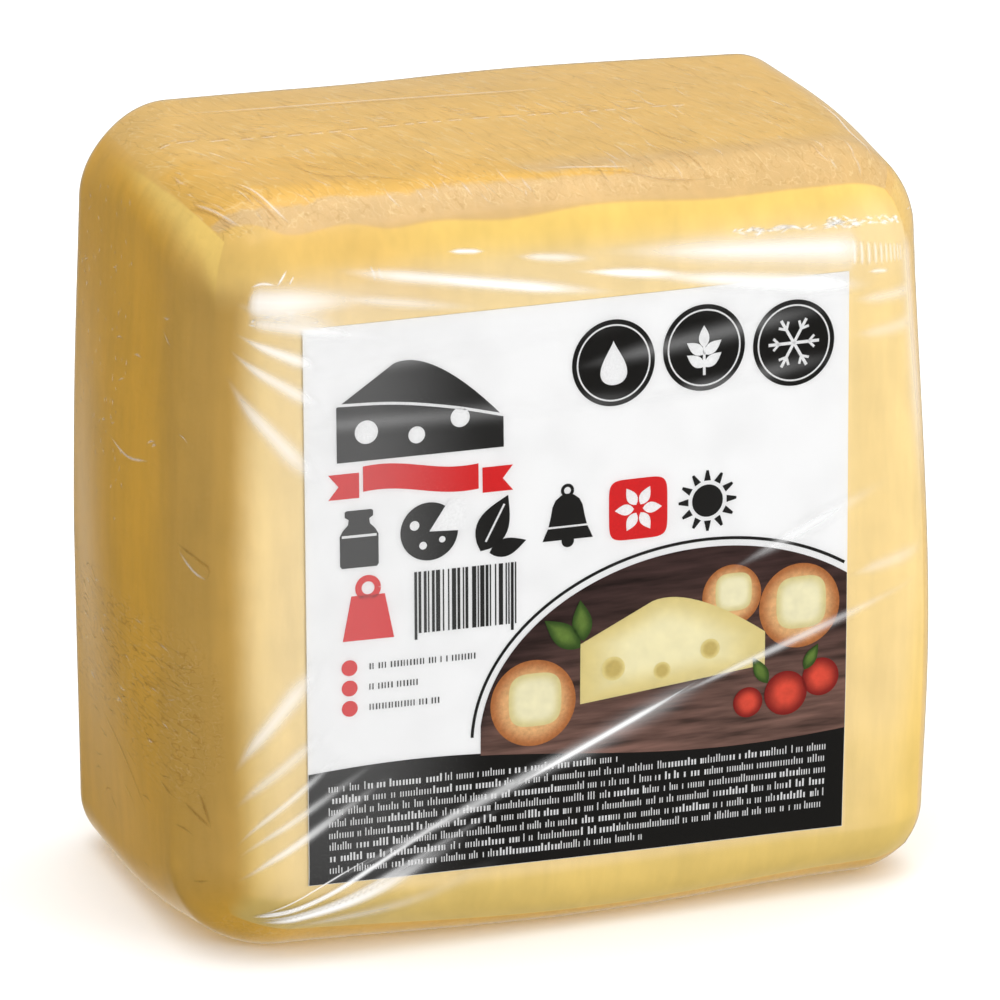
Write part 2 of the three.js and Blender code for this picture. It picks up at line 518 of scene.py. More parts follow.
def disc(outline: Array, rings: int = 3) -> Flat:
    """Fills an outline from its middle.

    Each ring is the outline drawn in towards its mean point by ring / rings. The tone runs from 0
    in the middle to 1 at the outline.

    Args:
        outline: corners across and up, in order, seen whole from their mean point.
        rings: rings of points.

    Returns:
        The filled shape.
    """
    ahead = np.roll(outline, -1, axis=0)
    area = (outline[:, 0] * ahead[:, 1] - ahead[:, 0] * outline[:, 1]).sum()
    outline = outline if area > 0 else outline[::-1]
    count = len(outline)
    middle = outline.mean(0)
    share = np.arange(1, rings + 1) / rings
    ring_points = middle + share[:, None, None] * (outline - middle)
    points = np.concatenate([middle[None], ring_points.reshape(-1, 2)])
    this, after = np.arange(count), (np.arange(count) + 1) % count
    hub = np.stack([np.zeros(count, int), 1 + this, 1 + after], -1)
    inner = 1 + np.arange(rings - 1)[:, None] * count
    walls = [inner + this, inner + count + this, inner + count + after, inner + after]
    quads = np.stack(walls, -1).reshape(-1, 4)
    return Flat(points, (hub, quads), np.concatenate([[0.0], np.repeat(share, count)]))


def between(across: Array, low: Array, high: Array, rows: int) -> Flat:
    """Fills upright columns between a lower and an upper line.

    Args:
        across: where the columns stand, from left to right.
        low: the lower line at each column.
        high: the upper line at each column.
        rows: squares in a column.

    Returns:
        The filled shape, whose tone is the share of the column's height.
    """
    share = np.linspace(0, 1, rows + 1)[:, None]
    up = low + share * (high - low)
    points = np.stack([np.broadcast_to(across, up.shape), up], -1).reshape(-1, 2)
    tone = np.broadcast_to(share, up.shape).ravel()
    return Flat(points, (grid_quads(rows + 1, len(across)),), tone)


def stroke(path: Array, half_width: Array | float) -> Flat:
    """Draws a line along a path, square to it by half a width on each side.

    Args:
        path: corners across and up, in order.
        half_width: half the line's width, the same everywhere or one for each corner.

    Returns:
        The line, whose tone is the share of its length.
    """
    ahead = unit(np.gradient(path, axis=0))
    beside = np.stack([-ahead[:, 1], ahead[:, 0]], -1) * np.broadcast_to(half_width, len(path))[:, None]
    points = np.stack([path - beside, path + beside]).reshape(-1, 2)
    return Flat(points, (grid_quads(2, len(path)),), np.tile(np.linspace(0, 1, len(path)), 2))


def bars(boxes: Array) -> Flat:
    """Draws upright rectangles, each given as left, low, right and high."""
    left, low, right, high = boxes.T
    points = np.stack([left, low, right, low, right, high, left, high], -1).reshape(-1, 2)
    faces = np.arange(len(points)).reshape(-1, 4)
    return Flat(points, (faces,), np.zeros(len(points)))


def patch(corners: Sequence[Pair], columns: int = 8, rows: int = 2) -> Flat:
    """Fills a four-cornered shape, straight between its corners, which run anticlockwise."""
    a, b, c, d = np.array(corners, float)
    u, v = np.meshgrid(np.linspace(0, 1, columns + 1), np.linspace(0, 1, rows + 1))
    u, v = u[..., None], v[..., None]
    points = (1 - v) * ((1 - u) * a + u * b) + v * ((1 - u) * d + u * c)
    return Flat(points.reshape(-1, 2), (grid_quads(rows + 1, columns + 1),), u.ravel())


def together(flats: Sequence[Flat]) -> Flat:
    """Joins flat shapes into one."""
    starts = np.cumsum([0, *(len(f.points) for f in flats)])
    faces = tuple(face + start for f, start in zip(flats, starts) for face in f.faces)
    tone = np.concatenate([f.tone for f in flats])
    return Flat(np.concatenate([f.points for f in flats]), faces, tone)


def circle(middle: Pair, radius: float, sides: int = 40) -> Array:
    """Gives the outline of a circle."""
    turn = np.linspace(0, 2 * np.pi, sides, endpoint=False)
    return np.array(middle) + radius * np.stack([np.cos(turn), np.sin(turn)], -1)


def leaf(foot: Pair, angle: float, length: float, width: float, sides: int = 12) -> Array:
    """Gives a leaf's outline from its foot.

    The half width along the leaf is width / 2 times sin(pi t to the power 0.8), which is
    fullest before the middle.

    Args:
        foot: where the leaf starts.
        angle: its direction, in degrees anticlockwise from across.
        length: its length.
        width: its greatest width.
        sides: points along each side.

    Returns:
        The outline, anticlockwise.
    """
    t = np.linspace(0, 1, sides)
    side = width / 2 * np.sin(np.pi * t**0.8)
    along = np.concatenate([t, t[-2:0:-1]]) * length
    beside = np.concatenate([-side, side[-2:0:-1]])
    turn = math.radians(angle)
    x = along * math.cos(turn) - beside * math.sin(turn)
    y = along * math.sin(turn) + beside * math.cos(turn)
    return np.array(foot) + np.stack([x, y], -1)


def wedge_outline(heel: Pair, tip: Pair, crown: Pair, cut: float, sides: int = 14) -> Array:
    """Gives a cheese wedge's outline: heel, tip, the tip's height, then a curve to the crown.

    Args:
        heel: its lower left corner.
        tip: its lower right corner.
        crown: the highest corner of its back.
        cut: height of its cut side at the heel; it is 0.55 of that at the tip.
        sides: points along each side.

    Returns:
        The outline, anticlockwise.
    """
    t = np.linspace(0, 1, sides, endpoint=False)[:, None]
    a, b, d = np.array(heel, float), np.array(tip, float), np.array(crown, float)
    c = b + (0, cut * 0.55)
    pull = d + (6, 2)
    e = a + (0, cut)
    arc = (1 - t) ** 2 * c + 2 * t * (1 - t) * pull + t**2 * d
    right, left = (b + t * (c - b))[::4], (e + t * (a - e))[::3]
    return np.concatenate([a + t * (b - a), right, arc, d + t * (e - d), left])


# Finishes

@dataclass(frozen=True)
class PrintInk:
    """Offset ink on coated paper: an even film of colour with a satin face.

    The eye sees a flat, clean colour whose edge is sharp, with the faint dot gain of the press.
    """

    name: str
    colour: str
    far_colour: str | None = None
    fade_from: float = 0.0
    fade_to: float = 1.0
    grain_mm: float = 0.35
    grain_share: float = 0.06
    stretch: Triple = (1.0, 1.0, 1.0)
    roughness: float = 0.4

    def material(self) -> bpy.types.Material:
        """Builds the ink, which fades from its colour to its far colour with the tone."""
        material, tree = new_material(self.name)
        place = add_node(tree, "ShaderNodeTexCoord").outputs["Object"]
        turned = add_node(tree, "ShaderNodeMapping", {"Scale": self.stretch}, {"Vector": place}).outputs[0]
        grain = noise_at(tree, turned, self.grain_mm, 3.0, 0.6)
        fade = remap(tree, field_of(tree, "tone"), (self.fade_from, self.fade_to), eased=True)
        body = mixed(tree, fade, self.colour, self.far_colour or self.colour)
        spread = remap(tree, grain, NOISE_SPAN, (1 - self.grain_share, 1 + self.grain_share))
        coloured = mixed(tree, 1.0, body, spread, "MULTIPLY")
        surface = add_node(
            tree,
            "ShaderNodeBsdfPrincipled",
            {"Roughness": self.roughness, "Specular IOR Level": 0.3},
            {"Base Color": coloured},
        ).outputs[0]
        add_node(tree, "ShaderNodeOutputMaterial", links={"Surface": surface})
        return material


@dataclass(frozen=True)
class CoatedPaper:
    """Wood-free label paper with a clay coat, calendered smooth.

    The eye sees a cool, near-white sheet with a faint cloudiness and no fibres.
    """

    colour: str = "F7F7F7"
    shade: str = "EEEEEE"
    cloud_mm: float = 9.0
    tooth_mm: float = 0.25

    def material(self) -> bpy.types.Material:
        """Builds the paper."""
        material, tree = new_material("clay_coated_label_paper")
        place = add_node(tree, "ShaderNodeTexCoord").outputs["Object"]
        cloud = noise_at(tree, place, self.cloud_mm, 2.0)
        tooth = noise_at(tree, place, self.tooth_mm, 2.0)
        colour = mixed(tree, remap(tree, cloud, (0.45, 0.75), (0.0, 0.6)), self.colour, self.shade)
        bump = add_node(
            tree, "ShaderNodeBump", {"Strength": 0.15, "Distance": 0.02 * MM}, {"Height": tooth}
        ).outputs[0]
        surface = add_node(
            tree,
            "ShaderNodeBsdfPrincipled",
            {"Roughness": 0.5, "Specular IOR Level": 0.3},
            {"Base Color": colour, "Normal": bump},
        ).outputs[0]
        add_node(tree, "ShaderNodeOutputMaterial", links={"Surface": surface})
        return material


@dataclass(frozen=True)
class YoungCheese:
    """Young pressed cow's milk cheese, cut from a loaf with a wire and pressed by its film.

    The eye sees a dense, waxy yellow, a little cloudy where the curd differs, and peach where the film has
    let go of it. Its colour also holds painted light: painted shade on the sides, the front's left edge, its
    upper left and its foot, and a paler painted highlight and sheen around the label and on the top's front
    rounding.
    """

    yellow: str = "F5D67E"
    # Painted highlight: the paler yellow around the label
    pale: str = "F6DDA2"
    # Painted shade: a darker yellow over the front's upper left
    upper_left_shade: str = "EBC877"
    peach: str = "ECC572"
    # Painted sheen: a paler, greyer peach, chiefly on the top's front rounding
    rounding_sheen: str = "E1C086"
    wet: str = "EBC166"
    # Painted shade: the darker yellow along the front's foot
    foot: str = "E6CB7B"
    # Painted shade: a deeper, darker yellow for the shaded sides, and a greyer, darker one near the front
    # edge
    side_shade: str = "ECBD4E"
    edge_shade: str = "D5AF5E"
    # Painted shade and painted highlight of the lines that the film has pressed in
    shade: str = "B98A3A"
    light: str = "F8E3B0"
    # Sizes of the curd's clouds, the upright bands, the fine grain and a border's wander
    curd_mm: float = 11.0
    band_mm: float = 2.6
    fine_mm: float = 1.4
    bend_mm: float = 7.0
    # How far a border wanders to each side
    wander_mm: float = 3.2
    # Shares by which the curd and the bands lighten and darken the colour
    curd_share: float = 0.045
    band_share: float = 0.04

    @staticmethod
    def zone(tree: bpy.types.NodeTree, name: str, wander: Term, edge: float) -> bpy.types.NodeSocket:
        """Turns a piece's signed distance to a zone's border into the zone's share.

        Args:
            tree: the material's tree.
            name: the distance's name, in millimetres, positive inside.
            wander: noise about 0 that makes the border wander, in millimetres.
            edge: half the border's softness, in millimetres.

        Returns:
            The socket of the share, from 0 to 1.
        """
        return remap(tree, reckon(tree, "ADD", field_of(tree, name), wander), (-edge, edge), eased=True)

    @staticmethod
    def lines(
        tree: bpy.types.NodeTree,
        place: bpy.types.NodeSocket,
        turn: Triple,
        stretch: Triple,
        size_mm: float,
        thin: float,
    ) -> bpy.types.NodeSocket:
        """Draws thin wandering lines where a stretched noise passes its middle value.

        Args:
            tree: the material's tree.
            place: the place in the frame.
            turn: turns of the stretch, in radians.
            stretch: how many times longer the noise is along each turned axis.
            size_mm: the noise's size.
            thin: half the lines' width, as a difference of noise.

        Returns:
            The socket of the lines' share, from 0 to 1.
        """
        settings = {"vector_type": "TEXTURE", "Rotation": turn, "Scale": stretch}
        turned = add_node(tree, "ShaderNodeMapping", settings, {"Vector": place}).outputs[0]
        off = reckon(tree, "SUBTRACT", noise_at(tree, turned, size_mm, 1.5), 0.5)
        return remap(tree, reckon(tree, "ABSOLUTE", off), (0.0, thin), (1.0, 0.0), eased=True)

    def zoned(self, tree: bpy.types.NodeTree, place: bpy.types.NodeSocket) -> bpy.types.NodeSocket:
        """Mixes the colours of the zones, each over those before it, and returns the colour."""
        noise = noise_at(tree, place, self.bend_mm, 5.0, 0.65)
        wander = remap(tree, noise, (0.0, 1.0), (-self.wander_mm, self.wander_mm))
        calm = reckon(tree, "MULTIPLY", wander, 0.2)
        colour = self.yellow
        # The paler surround is a painted highlight, the paler peach on the rounding a painted sheen, and the
        # darker upper left and foot a painted shade
        for name, hue, drift, edge in (
            ("pale", self.pale, calm, 5.0),
            ("upper_left_shade", self.upper_left_shade, calm, 14.0),
            ("lap", self.peach, calm, 0.6),
            ("rounding_sheen", self.rounding_sheen, calm, 4.0),
            ("wet", self.wet, wander, 0.7),
            ("foot", self.foot, calm, 3.0),
        ):
            colour = mixed(tree, self.zone(tree, name, drift, edge), colour, hue)
        # The painted shade of the sides, greyer near the front edge, goes over all the rest
        shade_hue = mixed(tree, self.zone(tree, "edge_shade", calm, 10.0), self.side_shade, self.edge_shade)
        return mixed(tree, self.zone(tree, "side_shade", calm, 3.4), colour, shade_hue)

    def marked(
        self, tree: bpy.types.NodeTree, place: bpy.types.NodeSocket, colour: bpy.types.NodeSocket
    ) -> bpy.types.NodeSocket:
        """Draws the lines that the film has pressed into the cheese, and returns the colour. Their dark lines
        are a painted shade and their light lines a painted highlight.
        """
        crossing = math.radians(-79)
        level = (0.0, 0.0, 0.0)
        for name, hue, most, turn, stretch, size_mm, thin in (
            ("wrinkle", self.shade, 0.55, level, (1.0, 5.0, 1.0), 1.3, 0.03),
            ("wrinkle", self.light, 0.30, (0.1, 0.0, 0.0), (1.0, 4.0, 1.0), 1.1, 0.02),
            ("crease", self.shade, 0.32, (0.0, 0.0, crossing), (9.0, 1.0, 1.0), 1.7, 0.022),
            ("crease", self.light, 0.42, (0.0, 0.0, crossing + 0.12), (7.0, 1.0, 1.0), 1.5, 0.022),
        ):
            drawn = self.lines(tree, place, turn, stretch, size_mm, thin)
            share = reckon(tree, "MULTIPLY", field_of(tree, name), drawn)
            colour = mixed(tree, reckon(tree, "MULTIPLY", share, most), colour, hue)
        return colour

    def material(self) -> bpy.types.Material:
        """Builds the cheese, which reads how far inside each of its zones a point is."""
        material, tree = new_material("pressed_yellow_cheese")
        place = add_node(tree, "ShaderNodeTexCoord").outputs["Object"]
        drawn = add_node(tree, "ShaderNodeMapping", {"Scale": (1.0, 1.0, 0.16)}, {"Vector": place}).outputs[0]
        curd = noise_at(tree, place, self.curd_mm, 4.0, 0.55)
        bands = noise_at(tree, drawn, self.band_mm, 3.0, 0.6)
        colour = self.zoned(tree, place)
        for texture, share in ((curd, self.curd_share), (bands, self.band_share)):
            cloud = remap(tree, texture, NOISE_SPAN, (1 - share, 1 + share))
            colour = mixed(tree, 1.0, colour, cloud, "MULTIPLY")
        colour = self.marked(tree, place, colour)
        fine = noise_at(tree, place, self.fine_mm, 2.0)
        grain = {"Strength": 0.5, "Distance": 0.06 * MM}
        bump = add_node(tree, "ShaderNodeBump", grain, {"Height": fine}).outputs[0]
        surface = add_node(
            tree,
            "ShaderNodeBsdfPrincipled",
            {"Roughness": 0.5, "IOR": 1.45, "Specular IOR Level": 0.2},
            {"Base Color": colour, "Normal": bump},
        ).outputs[0]
        add_node(tree, "ShaderNodeOutputMaterial", links={"Surface": surface})
        return material


@dataclass(frozen=True)
class ShrinkFilm:
    """Clear shrink film of polyolefin, 0.05 mm thick, drawn tight by hot air.

    The eye sees what is under it and a thin gloss on top: soft, drawn-out reflections where it is tight,
    milky streaks where it is gathered, and thin dark lines where a crease shades itself. On the front the
    reflections of the light are painted highlights: flat milky streaks and a soft haze.
    """

    name: str = "clear_shrink_film"
    roughness: float = 0.22
    ripple_mm: float = 3.0
    ripple_depth: float = 0.04
    milk: str = "FFFFFF"
    shade: str = "B07F30"

    def material(self) -> bpy.types.Material:
        """Builds the film, which reads its fold, its milk and its tone from the piece. Its milk on the front
        is mostly a painted highlight.
        """
        material, tree = new_material(self.name)
        place = add_node(tree, "ShaderNodeTexCoord").outputs["Object"]
        drawn = add_node(
            tree,
            "ShaderNodeMapping",
            {"Rotation": (0.0, math.radians(35), math.radians(20)), "Scale": (0.25, 0.6, 1.0)},
            {"Vector": place},
        ).outputs[0]
        ripple = noise_at(tree, drawn, self.ripple_mm, 3.0)
        bump = add_node(
            tree, "ShaderNodeBump", {"Strength": 0.6, "Distance": self.ripple_depth * MM}, {"Height": ripple}
        ).outputs[0]
        fold, milk, tone = (field_of(tree, name) for name in ("fold", "milk", "tone"))
        mirror = add_node(tree, "ShaderNodeFresnel", {"IOR": 1.5}, {"Normal": bump}).outputs[0]
        mirror = reckon(tree, "MULTIPLY", mirror, fold)
        hue = mixed(tree, tone, self.shade, self.milk)
        clear = add_node(tree, "ShaderNodeBsdfTransparent").outputs[0]
        haze = add_node(
            tree,
            "ShaderNodeBsdfPrincipled",
            {"Roughness": 0.5, "Specular IOR Level": 0.2},
            {"Base Color": hue},
        ).outputs[0]
        body = add_node(tree, "ShaderNodeMixShader", links={0: milk, 1: clear, 2: haze}).outputs[0]
        white = linear("FFFFFF")
        gloss = add_node(
            tree, "ShaderNodeBsdfGlossy", {"Roughness": self.roughness, "Color": white}, {"Normal": bump}
        ).outputs[0]
        surface = add_node(tree, "ShaderNodeMixShader", links={0: mirror, 1: body, 2: gloss}).outputs[0]
        add_node(tree, "ShaderNodeOutputMaterial", links={"Surface": surface})
        return material


@dataclass(frozen=True)
class StudioPaper:
    """Matt paper for a studio floor: an even pale sheet with no gloss."""

    colour: str = "FFFFFF"

    def material(self) -> bpy.types.Material:
        """Builds the paper."""
        material, tree = new_material("matt_studio_paper")
        surface = add_node(
            tree,
            "ShaderNodeBsdfPrincipled",
            {"Base Color": linear(self.colour), "Roughness": 0.9, "Specular IOR Level": 0.1},
        ).outputs[0]
        add_node(tree, "ShaderNodeOutputMaterial", links={"Surface": surface})
        return material


# The cheese and its film

@dataclass
class CheeseBlock:
    """The block of cheese itself, a hair under the film."""

    pack: Pack
    steps: tuple[int, int, int] = (146, 90, 146)
    crowding: float = 0.35
    floor_gap: float = 0.1
    finish: YoungCheese = YoungCheese()
    # Where the film lets go of the cheese along the front's top: x, and the way round from the
    # front's middle over the edge
    lap_line: tuple[Pair, ...] = (
        (-62, 62), (-50, 61), (-43, 56), (-34, 57.3), (-28, 55), (-22, 55.7), (-11, 54.5),
        (5, 56.1), (25, 55.4), (35, 56.6), (43, 57.2), (62, 58),
    )
    # The back edge of the patch on top where the film still clings: x and y
    cling_line: tuple[Pair, ...] = (
        (-62, -6), (-45, -9), (-28, -14), (-18, -18), (-7, -21.5), (-3, -27.5), (9, -29), (16, -34),
        (62, -40),
    )

    def zones(self, places: Array, label: "FrontLabel") -> dict[str, Array]:
        """Says how far inside each zone of colour a place lies, in millimetres. Some zones are painted light:
        a highlight around the label, a sheen on the top's front rounding, and shade on the front's upper
        left, along its foot and on the sides.
        """
        half = self.pack.skin.half
        x, y, z = (places * half).T
        is_left, is_right = places[:, 0] < -ON_FACE, places[:, 0] > ON_FACE
        is_front, is_back = places[:, 1] < -ON_FACE, places[:, 1] > ON_FACE
        is_top = places[:, 2] > ON_FACE
        near, far = 9.0, 20.0
        # The way from the front's middle up and over its edge
        over = z + (y + half[1])
        lap = curve_through(np.array(self.lap_line, float), 160)
        cling = curve_through(np.array(self.cling_line, float), 160)
        behind = np.where(is_top | is_front, over - np.interp(x, lap[:, 0], lap[:, 1]), 0)
        peach = np.where(is_left, z - 56.0 + 0.1 * y, behind)
        peach = np.where(is_back | is_right, z - 55.0, peach)
        wet = np.minimum(np.interp(x, cling[:, 0], cling[:, 1]) - y, y + 29.5)
        # Painted sheen: the rounding just behind the lap line is coloured a paler, greyer peach
        rounding_sheen = np.minimum(behind * 6, 15.0 - behind)
        # Painted shade: the front's upper left, its rim and the top's left part are coloured darker
        upper_left_shade = np.minimum(-26 - x, over - 46)
        # Painted highlight: the label's surround is coloured paler, widest beside its upper half
        edge = -label.inside(self.pack.lifted(places, 0.0))
        reach = np.interp(x, (-50, -42, 42, 50), (16, 13, 13, 19))
        reach *= np.interp(z, (-58, -40, 20, 42, 56), (0.3, 0.5, 1.1, 0.8, 0.5))
        beside = np.where(is_right, reach - 17.0 - (y + half[1]), -far)
        # Painted shade: the front is coloured darker along its foot, and a little up its right side
        foot = np.interp(z, (-58, -49, -44), (3.0, 2.0, -near))
        aside = np.interp(z, (-58, -35, -8), (0.2, -1.0, -near))
        foot = np.maximum(foot, np.where(x > 42, aside, -near))
        # Painted shade: the left side, the front's left edge and its lower left corner, and the hidden sides
        # are coloured a deeper, darker yellow, but not the top
        side_shade = np.where(is_front & ~is_left, -x - 51.2 - 5.0 * smooth(-z, 46, 57), near)
        side_shade = np.minimum(side_shade, np.where(is_front, 60 - z, 60))
        brow = np.interp(y, (-36, -30, -9, 12, 36), (45.5, 50.5, 53.6, 56.8, 57.5))
        side_shade = np.where(x < -48, np.minimum(side_shade, 0.9 * (brow - z)), side_shade)
        side_shade = np.where(is_top, -near, side_shade)
        side_shade = np.where(is_right, y + 22.0, side_shade)
        # Painted shade: near the front edge, above the foot, the shaded colour turns greyer and darker
        edge_shade = np.minimum(-22.0 - y, z + 50.0)
        # Where the film has pressed fine lines, as shares
        low_field = smooth(z, -36, -27) * (1 - smooth(z, -12, -5)) * smooth(y, -36, -30)
        wrinkle = np.where(is_left, 0.12 + 0.88 * low_field, np.where(is_front | is_top, 0.0, 0.35))
        corner_field = smooth(z, -30, -24) * (1 - smooth(z, -14, -8)) * (1 - smooth(x, -57, -54))
        wrinkle = np.maximum(wrinkle, np.where(is_front & (x < -50), 0.8 * corner_field, 0))
        crease = np.where(is_top, 1.0, np.where(is_front | is_left, 0.0, 0.5))
        return {
            "lap": peach,
            "foot": np.where(is_front, foot, -near),
            "edge_shade": np.where(is_left | is_front, edge_shade, -far),
            "upper_left_shade": np.where(is_top | is_front, upper_left_shade, -far),
            "rounding_sheen": np.where(is_left, -near, rounding_sheen),
            "wet": np.where(is_top, wet, -near),
            "side_shade": side_shade,
            "pale": np.where(is_front, reach - edge, beside),
            "wrinkle": wrinkle,
            "crease": crease,
        }

    def build(self, label: "FrontLabel") -> bpy.types.Object:
        """Builds the block and returns it."""
        places, faces = cube_lattice(self.steps, self.crowding)
        points = self.pack.lifted(places, 0.0)
        points[:, 2] = np.maximum(points[:, 2], self.floor_gap)
        block = make_piece("cheese_block", points, faces, self.zones(places, label))
        settle(block, self.finish.material(), ("wrapped_block",))
        return block


@dataclass
class FrontLabel:
    """The square printed label under the film, and the shapes of its print.

    Its places are millimetres across and up from its lower left corner. Shrinking has skewed its
    foot: up at the left end and down at the right.
    """

    pack: Pack
    left: float = -42.5
    foot: float = 12.0
    width: float = 86.5
    height: float = 87.0
    foot_rise: float = 1.0
    sheet_level: float = 0.3
    sheet_thick: float = 0.24
    ink_level: float = 0.34
    picture_level: float = 0.38
    over_level: float = 0.42
    inset: float = 0.08

    def lay(self, flat: Array, level: Array | float) -> Array:
        """Lays flat places on the front of the block.

        The place on the cube is moved until its skin stands at the wanted x and z, and the point
        is brought forward by the level.

        Args:
            flat: places across and up.
            level: millimetres in front of the skin.

        Returns:
            Frame points in millimetres.
        """
        skin = self.pack.skin
        x = self.left + flat[:, 0]
        skew = self.foot_rise * (1 - 2 * flat[:, 0] / self.width) * (1 - flat[:, 1] / self.height)
        z = self.foot + flat[:, 1] + skew
        wanted = np.stack([x / skin.half[0], z / skin.half[2] - 1], -1)
        found = wanted.copy()
        for _ in range(12):
            places = np.stack([found[:, 0], np.full(len(x), -1.0), found[:, 1]], -1)
            points, _ = skin.at(places)
            missed = np.stack([x - points[:, 0], z - points[:, 2]], -1) / skin.half[[0, 2]]
            found = np.clip(found + missed, -1, 1)
        return np.stack([x, points[:, 1] - level, z], -1) + self.pack.shift

    def flat_of(self, points: Array) -> Array:
        """Gives the places across and up of frame points on the front, as lay does backwards."""
        own = points - self.pack.shift
        across = own[:, 0] - self.left
        lean = self.foot_rise * (1 - 2 * across / self.width)
        up = (own[:, 2] - self.foot - lean) / (1 - lean / self.height)
        return np.stack([across, up], -1)

    def inside(self, points: Array) -> Array:
        """Gives how far frame points lie inside the label's edge, negative outside."""
        flat = self.flat_of(points)
        reach = np.array([self.width, self.height]) / 2
        beyond = np.abs(flat - reach) - reach
        outside = np.linalg.norm(np.maximum(beyond, 0), axis=-1)
        return -(outside + np.minimum(beyond.max(-1), 0))

    def print_on(
        self,
        name: str,
        flat: Flat,
        ink: PrintInk,
        level: float,
        stands_for: Sequence[str] = (),
    ) -> bpy.types.Object:
        """Prints a flat shape on the label.

        Args:
            name: the piece's name.
            flat: the shape.
            ink: its finish.
            level: millimetres in front of the skin.
            stands_for: the CAD nodes that it replaces.

        Returns:
            The printed piece.
        """
        piece = make_piece(name, self.lay(flat.points, level), flat.faces, {"tone": flat.tone})
        settle(piece, ink.material(), stands_for)
        return piece

    def band_top(self, across: Array) -> Array:
        """Gives the height of the dark band's wavy top: 17 mm and a sine of 1.6 mm."""
        return 17 + 1.6 * np.sin(2 * np.pi * (across / self.width * 0.85 + 0.08))

    def sheet(self) -> bpy.types.Object:
        """Builds the paper sheet as a closed slab."""
        steps = 60
        across = np.linspace(0, self.width, steps + 1)
        up = np.linspace(0, self.height, steps + 1)
        across, up = np.meshgrid(across, up)
        flat = np.stack([across.ravel(), up.ravel()], -1)
        front = self.lay(flat, self.sheet_level)
        rear = self.lay(flat, self.sheet_level - self.sheet_thick)
        count = len(flat)
        numbers = np.arange(count).reshape(steps + 1, steps + 1)
        rim = np.concatenate([numbers[0, :-1], numbers[:-1, -1], numbers[-1, :0:-1], numbers[:0:-1, 0]])
        ahead = np.roll(rim, -1)
        walls = np.stack([rim, rim + count, ahead + count, ahead], -1)
        quads = grid_quads(steps + 1, steps + 1)
        faces = [quads, quads[:, ::-1] + count, walls]
        piece = make_piece("label_sheet", np.concatenate([front, rear]), faces)
        piece.data.set_sharp_from_angle(angle=math.radians(40))
        settle(piece, CoatedPaper().material(), ("label",))
        return piece

    def band(self) -> None:
        """Prints the dark band along the foot, with its rows of small print as plain ticks."""
        across = np.linspace(self.inset, self.width - self.inset, 61)
        low = np.full_like(across, self.inset)
        black = PrintInk("black_offset_ink", "1A1A1A")
        field_ = between(across, low, self.band_top(across), 12)
        self.print_on("print_band_field", field_, black, self.ink_level, ("print_band",))
        white = PrintInk("white_knockout", "EDEDED")
        self.print_on("print_small_rows", self.small_rows(), white, self.picture_level)

    def small_rows(self) -> Flat:
        """Draws the rows of small print as groups of plain upright ticks that spell nothing."""
        draw = np.random.default_rng(SEED)
        pitch, margin, count = 1.85, 2.8, 230
        boxes = []
        for row in range(8):
            low = 1.7 + row * pitch
            bold = draw.random(count // 10 + 1).repeat(10)[:count] < 0.25
            widths = np.where(bold, 0.28, 0.17)
            is_wide = draw.random(count) < 0.16
            wide, narrow = draw.uniform(0.6, 0.9, count), draw.uniform(0.2, 0.3, count)
            gaps = np.where(is_wide, wide, narrow)
            left = margin + np.cumsum(widths + gaps)
            high = low + np.where(draw.random(count) < 0.22, 1.25, 0.85)
            end = self.width - 3.0 if row else self.width * 0.62
            kept = (left + widths < end) & (high < self.band_top(left) - 0.9)
            boxes.append(np.stack([left, np.full(count, low), left + widths, high], -1)[kept])
        return bars(np.concatenate(boxes))

    def roundels(self) -> None:
        """Prints the three dark roundels at the top right, each with a plain white sign."""
        middles = [(48.5, 77.0), (63.0, 77.8), (77.5, 77.0)]
        nodes = ("print_roundel_left", "print_roundel_middle", "print_roundel_right")
        fields = together([disc(circle(m, 6.6, 64), 4) for m in middles])
        rings = []
        for x, y in middles:
            ring = circle((x, y), 5.75, 64)
            rings.append(stroke(np.concatenate([ring, ring[:1]]), 0.13))
        black = PrintInk("black_roundel_ink", "1A1A1A")
        self.print_on("print_roundels", fields, black, self.ink_level, nodes)
        signs = [self.drop(middles[0]), self.sprig(middles[1]), self.snowflake(middles[2]), *rings]
        white = PrintInk("white_sign", "F2F2F2")
        self.print_on("print_roundel_signs", together(signs), white, self.picture_level)

    @staticmethod
    def drop(middle: Pair) -> Flat:
        """Draws a drop: x is 3.1 sin t sin(t / 2) to the power 1.6, and y is 3.4 cos t."""
        t = np.linspace(0, 2 * np.pi, 48, endpoint=False)
        x = 3.1 * np.sin(t) * np.sin(t / 2) ** 1.6
        return disc(np.array(middle) + np.stack([x, 3.4 * np.cos(t)], -1), 3)

    @staticmethod
    def sprig(middle: Pair) -> Flat:
        """Draws a stem with five leaves."""
        x, y = middle
        stem = stroke(np.array([[x, y - 4.2], [x, y - 1.0], [x, y + 1.5]]), 0.22)
        turns = [(0, 90), (-1.0, 35), (-1.0, 145), (-2.9, 35), (-2.9, 145)]
        leaves = [disc(leaf((x, y + up), angle, 3.4, 1.7), 2) for up, angle in turns]
        return together([stem, *leaves])

    @staticmethod
    def snowflake(middle: Pair) -> Flat:
        """Draws three bars across each other, with a pair of twigs near every end."""
        parts = []
        for turn in np.radians([0, 60, 120, 180, 240, 300]):
            ahead = np.array([math.cos(turn), math.sin(turn)])
            beside = np.array([-ahead[1], ahead[0]])
            ends = np.array(middle) + np.outer([0.0, 2.0, 4.1], ahead)
            parts.append(stroke(ends, 0.24))
            for side in (-1, 1):
                root = np.array(middle) + 2.4 * ahead
                twig = root + np.outer([0.0, 0.6, 1.3], ahead * 0.7 + side * beside * 0.7)
                parts.append(stroke(twig, 0.2))
        return together(parts)

